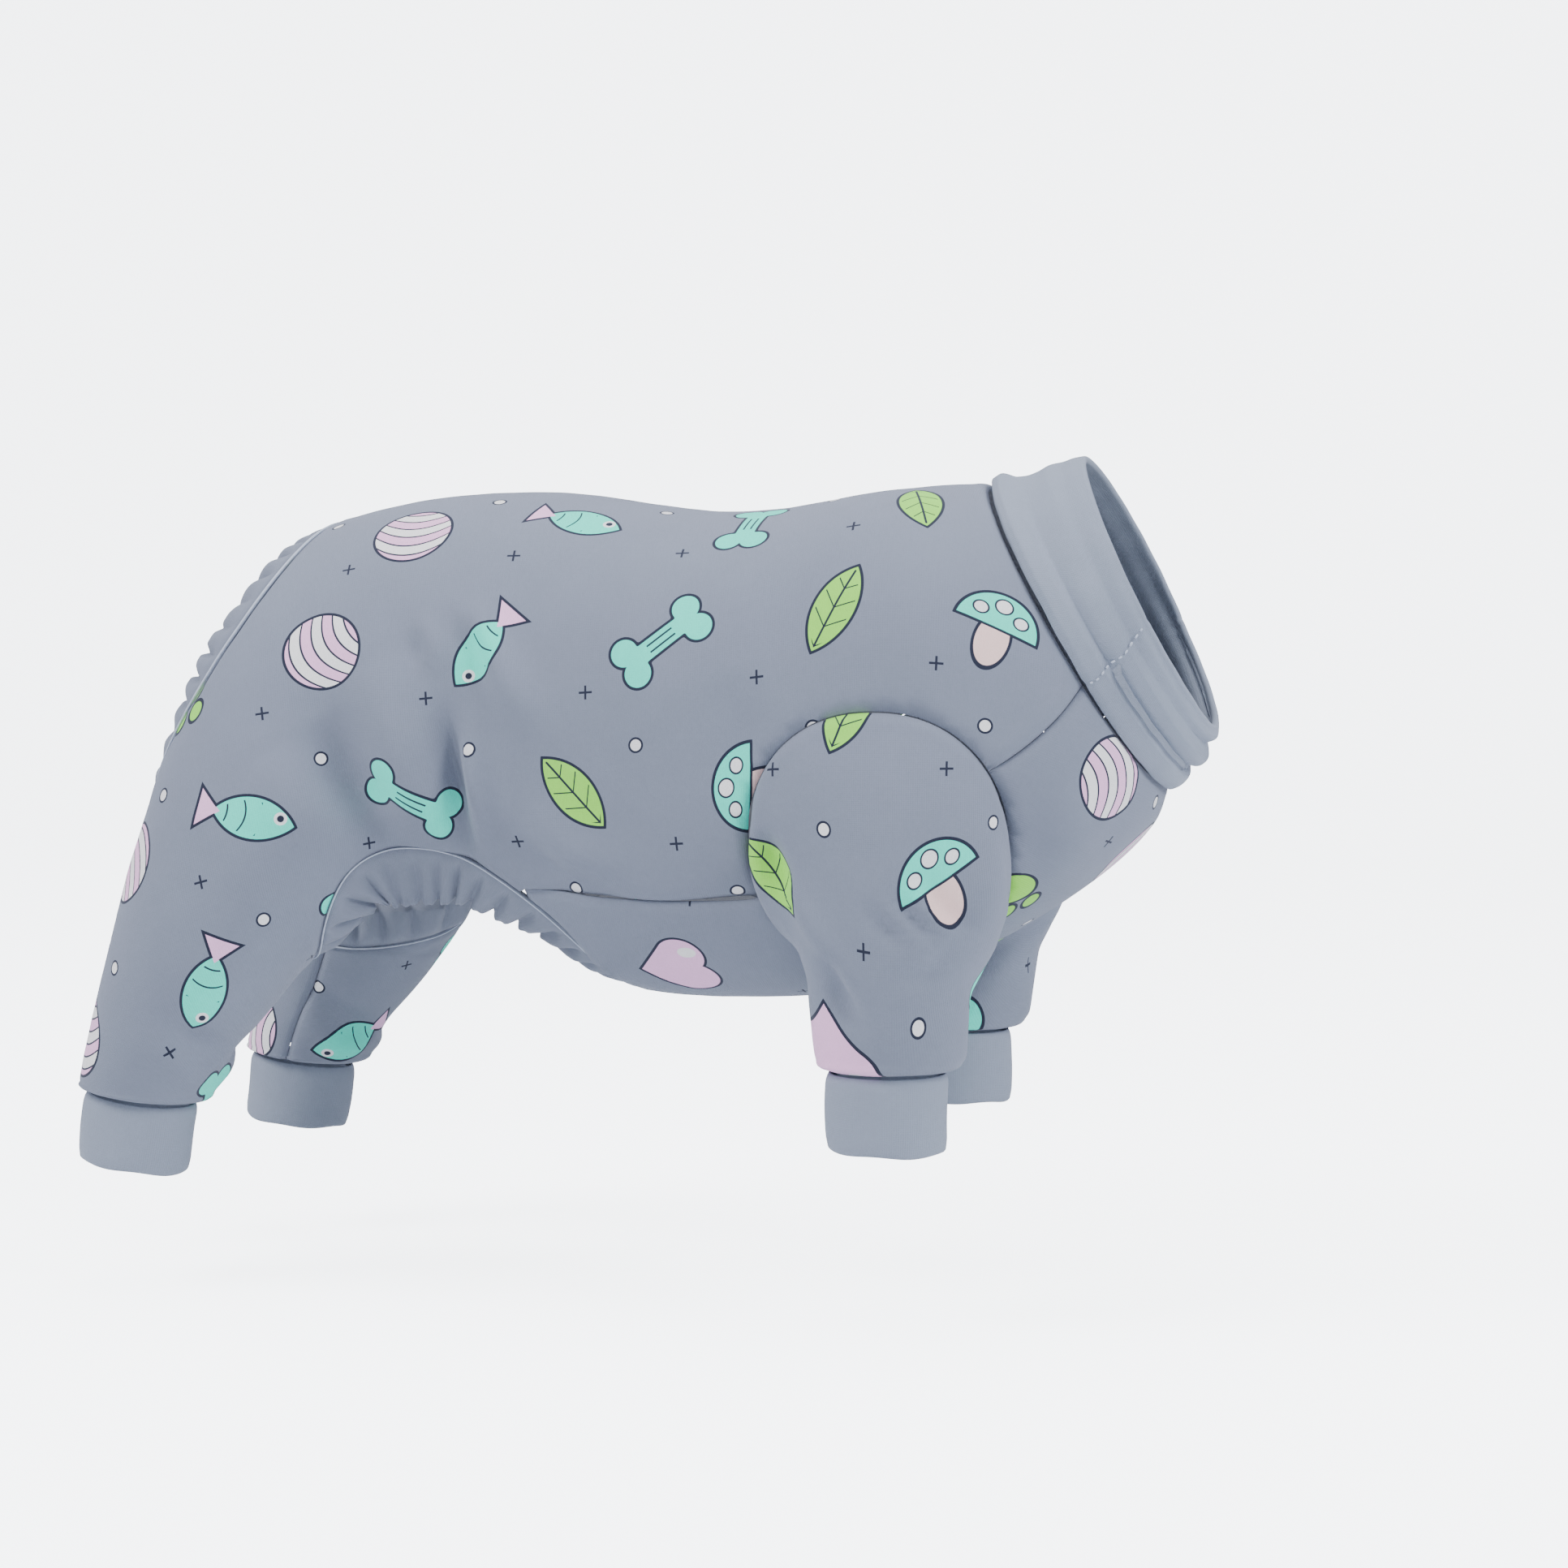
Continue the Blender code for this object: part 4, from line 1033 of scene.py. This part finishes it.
# Cuffs
# Four short tubes of the collar's jersey, sewn double to the sleeves and the hind legs.
# They grip the leg and hold the puffed cloth above them in place.

FRONT_CUFF_HEIGHT = 0.029
HIND_CUFF_HEIGHT = 0.027
CUFF_SIDES = 96
CUFF_PROFILE = ((0.00, 1.00), (0.30, 1.025), (0.85, 1.010), (1.00, 0.985))


def cuff_rings(back, front, middle, half_width, height, sides, seed):
    """Rings that hang square to the line from back to front, with a slightly wavy hem."""
    shares = np.concatenate(([0, 0.02, 0.05, 0.09], np.linspace(0.13, 1, 30)))
    profile = np.array(CUFF_PROFILE)
    swell = read_table(profile[:, 0], profile[:, 1:], shares)[:, 0]
    across = (front - back) / np.linalg.norm(front - back)
    down = np.array((across[1], -across[0]))
    down *= -1 if down[1] > 0 else 1
    half = np.linalg.norm(front - back) / 2
    angle = np.linspace(0, 2 * math.pi, sides, endpoint=False)
    hem = 0.0005 * np.sin(2 * angle + seed) + 0.0003 * np.sin(5 * angle + 2 * seed)
    drop = 0.0002 + shares[:, None] * (height - DOUBLE / 2 - 0.0002 + hem)
    centre = (back + front) / 2
    reach = half * swell[:, None] * np.cos(angle)
    x = centre[0] + down[0] * drop - across[0] * reach
    z = centre[1] + down[1] * drop - across[1] * reach
    y = middle + half_width * swell[:, None] * np.sin(angle)
    rings = np.stack((x, y, z), axis=-1)
    away = shares[:, None] * height * np.ones((1, sides))
    rise = rolled_in(away, 0.0006)
    rise += 0.00035 * np.sin(3 * angle + 4 * shares[:, None] + seed)
    return lifted_rings(rings, rise)


for side, word in ((1, "left"), (-1, "right")):
    wrist = sleeve_rings(side, np.array((1.0,)), 60)[0]
    low, high = wrist.min(axis=0), wrist.max(axis=0)
    front_rings = cuff_rings(
        low[[0, 2]],
        high[[0, 2]],
        (low[1] + high[1]) / 2,
        (high[1] - low[1]) / 2,
        FRONT_CUFF_HEIGHT,
        CUFF_SIDES,
        1.0 + side,
    )
    hock = body_rows([LEG_END], side)[0]
    hind_rings = cuff_rings(
        hock[0:2], hock[2:4], side * hock[4], hock[5], HIND_CUFF_HEIGHT, CUFF_SIDES, 2.2 + side
    )
    for place, rings, flat, area in (
        ("front", front_rings, (0.139, 0.0575), 0.00743),
        ("hind", hind_rings, (0.136, 0.0535), 0.00674),
    ):
        cuff = tube_piece(f"{place}_cuff_cloth_{word}", doubled(rings), LAYER, (plain_jersey,))
        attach(cuff, "root")
        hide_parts(f"{place}_cuff_{word}")


# Gathered band
# A strip of jersey sewn all the way round the rear opening. Elastic in its free edge draws
# it up into gathers, which turn inward.

BAND_WIDTH = 0.028
BAND_WALL = 0.0016
BAND_GATHERS = 84
BAND_COLUMNS = 1100
GATHER_RISE = 0.0026
BAND = (
    # station, width, lean_degrees
    (0.00, 1.00, 36.0),
    (0.15, 1.00, 27.0),
    (0.35, 0.95, 14.0),
    (0.60, 0.85, 12.0),
    (0.85, 0.70, 12.0),
    (1.00, 0.66, 6.0),
    (1.15, 0.70, 8.0),
    (1.35, 0.85, 6.0),
    (1.60, 0.96, -12.0),
    (1.80, 1.00, 4.0),
    (2.00, 1.00, 10.0),
)


def opening_rim(side):
    """The opening's edge on one side, from the tail to the belly: points and stations."""
    rear = close_at(np.arange(TRUNK_END, CROTCH, 0.06), (TRUNK_END, CROTCH))
    rear = np.append(rear, CROTCH)
    front = close_at(np.arange(BELLY_END, CROTCH, 0.06), (BELLY_END, CROTCH))[::-1]
    places = np.concatenate((rear, front))
    degrees = np.concatenate((rear_edge(rear), front_edge(front)))
    later = 1 + (CROTCH - front) / (CROTCH - BELLY_END)
    stations = np.concatenate(((rear - TRUNK_END) / (CROTCH - TRUNK_END), later))
    points = body_points(places, degrees[:, None], side)[:, 0]
    onward = body_points(places, degrees[:, None] + 1, side)[:, 0]
    sooner = body_points(places, degrees[:, None] - 1, side)[:, 0]
    ahead = body_points(np.minimum(places + 0.05, LEG_END), degrees[:, None], side)[:, 0]
    behind = body_points(places - 0.05, degrees[:, None], side)[:, 0]
    outward = side * np.cross(onward - sooner, ahead - behind)
    outward /= np.linalg.norm(outward, axis=1)[:, None]
    return points, outward, stations[:, None]


def evenly(values, count):
    """Arrays of a line's points, and of what goes with them, read at even distances."""
    points = values[0]
    length = np.concatenate(([0], np.cumsum(np.linalg.norm(np.diff(points, axis=0), axis=1))))
    wanted = np.linspace(0, length[-1], count)
    return [np.stack([np.interp(wanted, length, c) for c in v.T], axis=-1) for v in values]


def softened(directions, rounds):
    """Directions round a closed line, averaged with their neighbours."""
    for _ in range(rounds):
        directions = np.roll(directions, 1, axis=0) + directions + np.roll(directions, -1, axis=0)
        directions /= np.linalg.norm(directions, axis=1)[:, None]
    return directions


def whole_rim(count):
    """The rim of both sides as one closed line: points, outward, inward and stations."""
    left, right = (evenly(opening_rim(side), count // 2 + 1) for side in (1, -1))
    joined = [np.concatenate((a[:-1], b[::-1][:-1])) for a, b in zip(left, right)]
    points, outward, stations = joined
    tangent = np.roll(points, -1, axis=0) - np.roll(points, 1, axis=0)
    inward = np.cross(outward, tangent)
    inward /= np.linalg.norm(inward, axis=1)[:, None]
    return points, softened(outward, 22), softened(inward, 22), stations[:, 0]


def band_rings(count):
    """Rows of the band from its seam to its elastic edge, and the outward way at the seam."""
    points, outward, inward, stations = whole_rim(count)
    rows = read_table([b[0] for b in BAND], [b[1:] for b in BAND], stations)
    width, lean = BAND_WIDTH * rows[:, 0], np.radians(rows[:, 1])
    turn = np.linspace(0, 2 * math.pi, count, endpoint=False)
    phase = BAND_GATHERS * turn / 2 + 0.9 * np.sin(5 * turn) + 0.6 * np.sin(11 * turn + 1)
    ridge = 2 * np.abs(np.sin(phase)) ** 0.8 - 1
    strength = 0.85 + 0.25 * np.sin(7 * turn + 2) + 0.15 * np.sin(17 * turn)
    pucker = np.sin(phase * 4 + 1.5 * np.sin(3 * turn))
    rings = []
    for share in np.concatenate(([0, 0.02, 0.05, 0.09], np.linspace(0.14, 1, 20))):
        reach = 0.0002 + share * (width - 0.0002) + 0.0014 * ridge * strength * share**3
        turned = lean * share**1.6 + 0.35 * eased((share - 0.9) * 10)
        grown = eased(share / 0.45)
        lift = GATHER_RISE * grown * strength * (ridge * (1 - 0.3 * share) + 0.1)
        lift += 0.0007 * eased((share - 0.6) * 2.5) * pucker
        lift += rolled_in(share * width, 0.0010)
        flat = inward * np.cos(turned)[:, None] - outward * np.sin(turned)[:, None]
        rings.append(points + flat * reach[:, None] + outward * lift[:, None])
    return np.array(rings), outward


def closed_strip(name, rings, outward, thickness, finishes):
    """A piece from rows round the opening, with its faces turned outward."""
    piece = tube_piece(name, rings, thickness, finishes)
    mesh = piece.data
    faces = mesh.polygons[: len(outward)]
    facing = sum(face.normal.dot(Vector(outward[k])) for k, face in enumerate(faces))
    if facing < 0:
        mesh.flip_normals()
    return piece


gathered_jersey = jersey("gathered_jersey", (0.222, 0.250, 0.330), False, 0.35)
band_points, band_outward = band_rings(BAND_COLUMNS)
band_finishes = (gathered_jersey, jersey_inside)
band = closed_strip("opening_band_cloth", band_points, band_outward, BAND_WALL, band_finishes)
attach(band, "root")
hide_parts("opening_band")


# Seams and stitches
# A raised line of pale thread covers the seam round the opening. A row of short stitches
# crosses the collar on each side, where its ends are joined.


def thread_finish():
    """Pale twisted thread."""
    finish, tree, shader = new_finish("seam_thread")
    place = tree.nodes.new("ShaderNodeTexCoord")
    twist = tree.nodes.new("ShaderNodeTexNoise")
    twist.inputs["Scale"].default_value = 900
    tree.links.new(place.outputs["Object"], twist.inputs["Vector"])
    shades = tree.nodes.new("ShaderNodeValToRGB")
    shades.color_ramp.elements[0].color = (0.40, 0.46, 0.58, 1)
    shades.color_ramp.elements[1].color = (0.62, 0.68, 0.82, 1)
    tree.links.new(twist.outputs["Fac"], shades.inputs[0])
    tree.links.new(shades.outputs[0], shader.inputs["Base Color"])
    relief = tree.nodes.new("ShaderNodeBump")
    relief.inputs["Distance"].default_value = 0.0002
    tree.links.new(twist.outputs["Fac"], relief.inputs["Height"])
    tree.links.new(relief.outputs[0], shader.inputs["Normal"])
    shader.inputs["Roughness"].default_value = 0.7
    return finish


def cord_mesh(sheet, line, radius, closed):
    """Adds a thin round cord along a line of points, with a radius at each."""
    count = len(line)
    tangent = np.gradient(line, axis=0)
    if closed:
        tangent = np.roll(line, -1, axis=0) - np.roll(line, 1, axis=0)
    tangent /= np.linalg.norm(tangent, axis=1)[:, None]
    side = np.cross(tangent, (0.31, 0.17, 0.93))
    side /= np.linalg.norm(side, axis=1)[:, None]
    up = np.cross(side, tangent)
    rings = []
    for k in range(count):
        end = 1.0 if closed else 0.35 + 0.65 * math.sin(math.pi * (k + 0.5) / count) ** 0.5
        ring = []
        for turn in np.linspace(0, 2 * math.pi, 8, endpoint=False):
            way = side[k] * math.cos(turn) + up[k] * math.sin(turn)
            ring.append(sheet.verts.new(line[k] + way * radius[k] * end))
        rings.append(ring)
    for k in range(count if closed else count - 1):
        after = rings[(k + 1) % count]
        for j in range(8):
            sheet.faces.new((rings[k][j], rings[k][(j + 1) % 8], after[(j + 1) % 8], after[j]))
    if not closed:
        sheet.faces.new(rings[0][::-1])
        sheet.faces.new(rings[-1])


def thread_piece(name, sheet):
    """Turns cords into one piece of thread."""
    bmesh.ops.recalc_face_normals(sheet, faces=sheet.faces)
    mesh = bpy.data.meshes.new(name)
    sheet.to_mesh(mesh)
    sheet.free()
    mesh.materials.append(seam_thread)
    mesh.shade_smooth()
    piece = bpy.data.objects.new(name, mesh)
    bpy.context.scene.collection.objects.link(piece)
    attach(piece, "root")
    return piece


seam_thread = thread_finish()
rim_points, rim_outward, _, rim_stations = whole_rim(900)
piping = bmesh.new()
rim_radius = 0.00032 + 0.00026 * eased((0.75 - rim_stations) * 4)
cord_mesh(piping, rim_points + rim_outward * 0.0002, rim_radius, True)
thread_piece("opening_seam", piping)

stitches = bmesh.new()
stitch_down = np.linspace(0.07, 0.99, 120)
for way in (1, -1):
    rows = (stitch_down * (len(collar_points) - 1)).astype(int)
    turns = np.radians(JOIN_AT - JOIN_LEAN * stitch_down) * way % (2 * math.pi)
    columns = np.round(turns / (2 * math.pi) * COLLAR_SIDES).astype(int) % COLLAR_SIDES
    line = seam_points(collar_points[rows, columns])
    weights = np.ones(25) / 25
    padded = np.pad(line, ((12, 12), (0, 0)), mode="edge")
    line = np.stack([np.convolve(padded[:, k], weights, "valid") for k in range(3)], axis=-1)
    line += outward_of(collar_points)[0][rows.mean().astype(int), columns[60]] * 0.0007
    for start in range(0, len(line) - 5, 8):
        cord_mesh(stitches, line[start : start + 5], np.full(5, 0.00042), False)
thread_piece("collar_stitches", stitches)


# Floor, light and camera
# A plain pale floor that sweeps up behind, soft studio light, and the photograph's view.


FLOOR_GLOW = 5.0  # the floor is lit to white, as in a studio


def floor_finish(name, colour):
    """Matt and almost even, and seen as lit to white."""
    finish, tree, shader = new_finish(name)
    cloud = tree.nodes.new("ShaderNodeTexNoise")
    cloud.inputs["Scale"].default_value = 1.5
    shades = tree.nodes.new("ShaderNodeValToRGB")
    shades.color_ramp.elements[0].color = (*(0.985 * c for c in colour), 1)
    shades.color_ramp.elements[1].color = (*colour, 1)
    tree.links.new(cloud.outputs["Fac"], shades.inputs[0])
    tree.links.new(shades.outputs[0], shader.inputs["Base Color"])
    shader.inputs["Roughness"].default_value = 0.9
    shader.inputs["Specular IOR Level"].default_value = 0.1
    seen = tree.nodes.new("ShaderNodeLightPath")
    glow = tree.nodes.new("ShaderNodeMath")
    glow.operation = "MULTIPLY"
    glow.inputs[1].default_value = FLOOR_GLOW
    tree.links.new(seen.outputs["Is Camera Ray"], glow.inputs[0])
    tree.links.new(glow.outputs[0], shader.inputs["Emission Strength"])
    shader.inputs["Emission Color"].default_value = (0.93, 0.96, 1.0, 1)
    return finish


FLOOR_Z = -0.305
BEND = 0.9  # radius of the bend behind, where the floor turns up
BEND_FROM = 2.2
sweep = bmesh.new()
turns = np.linspace(0, math.pi / 2, 16)
bend = [(BEND_FROM + BEND * math.sin(a), BEND - BEND * math.cos(a)) for a in turns]
outline = [(-3.0, 0.0), *bend, (BEND_FROM + BEND, 4.0)]
edges = [[sweep.verts.new((x, y, FLOOR_Z + z)) for x in (-6.0, 6.0)] for y, z in outline]
for near, far in zip(edges, edges[1:]):
    sweep.faces.new((near[0], near[1], far[1], far[0]))
floor_mesh = bpy.data.meshes.new("floor")
sweep.to_mesh(floor_mesh)
sweep.free()
floor_mesh.materials.append(floor_finish("pale_floor", (0.86, 0.88, 0.91)))
floor_mesh.shade_smooth()
floor = bpy.data.objects.new("floor", floor_mesh)
bpy.context.scene.collection.objects.link(floor)


def soft_light(name, place, target, size, power, colour):
    """A rectangular lamp that faces its target."""
    lamp = bpy.data.lights.new(name, "AREA")
    lamp.shape = "RECTANGLE"
    lamp.size, lamp.size_y = size
    lamp.energy = power
    lamp.color = colour
    holder = bpy.data.objects.new(name, lamp)
    holder.location = place
    way = Vector(target) - Vector(place)
    holder.rotation_euler = way.to_track_quat("-Z", "Y").to_euler()
    bpy.context.scene.collection.objects.link(holder)


soft_light("left_light", (-1.35, -0.95, 1.35), (-0.09, 0, -0.1), (0.9, 0.8), 40, (1.0, 0.99, 0.98))
soft_light("right_light", (1.7, -0.60, 0.95), (-0.05, 0, -0.1), (0.9, 0.8), 34, (0.98, 0.99, 1.0))
soft_light("top_light", (0.1, 0.1, 1.7), (-0.1, 0, 0), (1.4, 1.4), 24, (1.0, 1.0, 1.0))

sky = bpy.data.worlds.new("studio")
sky.use_nodes = True
sky.node_tree.nodes["Background"].inputs["Color"].default_value = (0.86, 0.90, 1.0, 1)
sky.node_tree.nodes["Background"].inputs["Strength"].default_value = 0.36
bpy.context.scene.world = sky

VIEW_TARGET = Vector((-0.0458, 0.0, -0.1107))
azimuth, elevation, distance = math.radians(14), math.radians(3), 1.26
backwards = Vector(
    (
        math.sin(azimuth) * math.cos(elevation),
        -math.cos(azimuth) * math.cos(elevation),
        math.sin(elevation),
    )
)
lens = bpy.data.cameras.new("camera")
lens.lens = 75
lens.sensor_width = 36
camera = bpy.data.objects.new("camera", lens)
camera.location = VIEW_TARGET + backwards * distance
camera.rotation_euler = (-backwards).to_track_quat("-Z", "Y").to_euler()
bpy.context.scene.collection.objects.link(camera)
bpy.context.scene.camera = camera
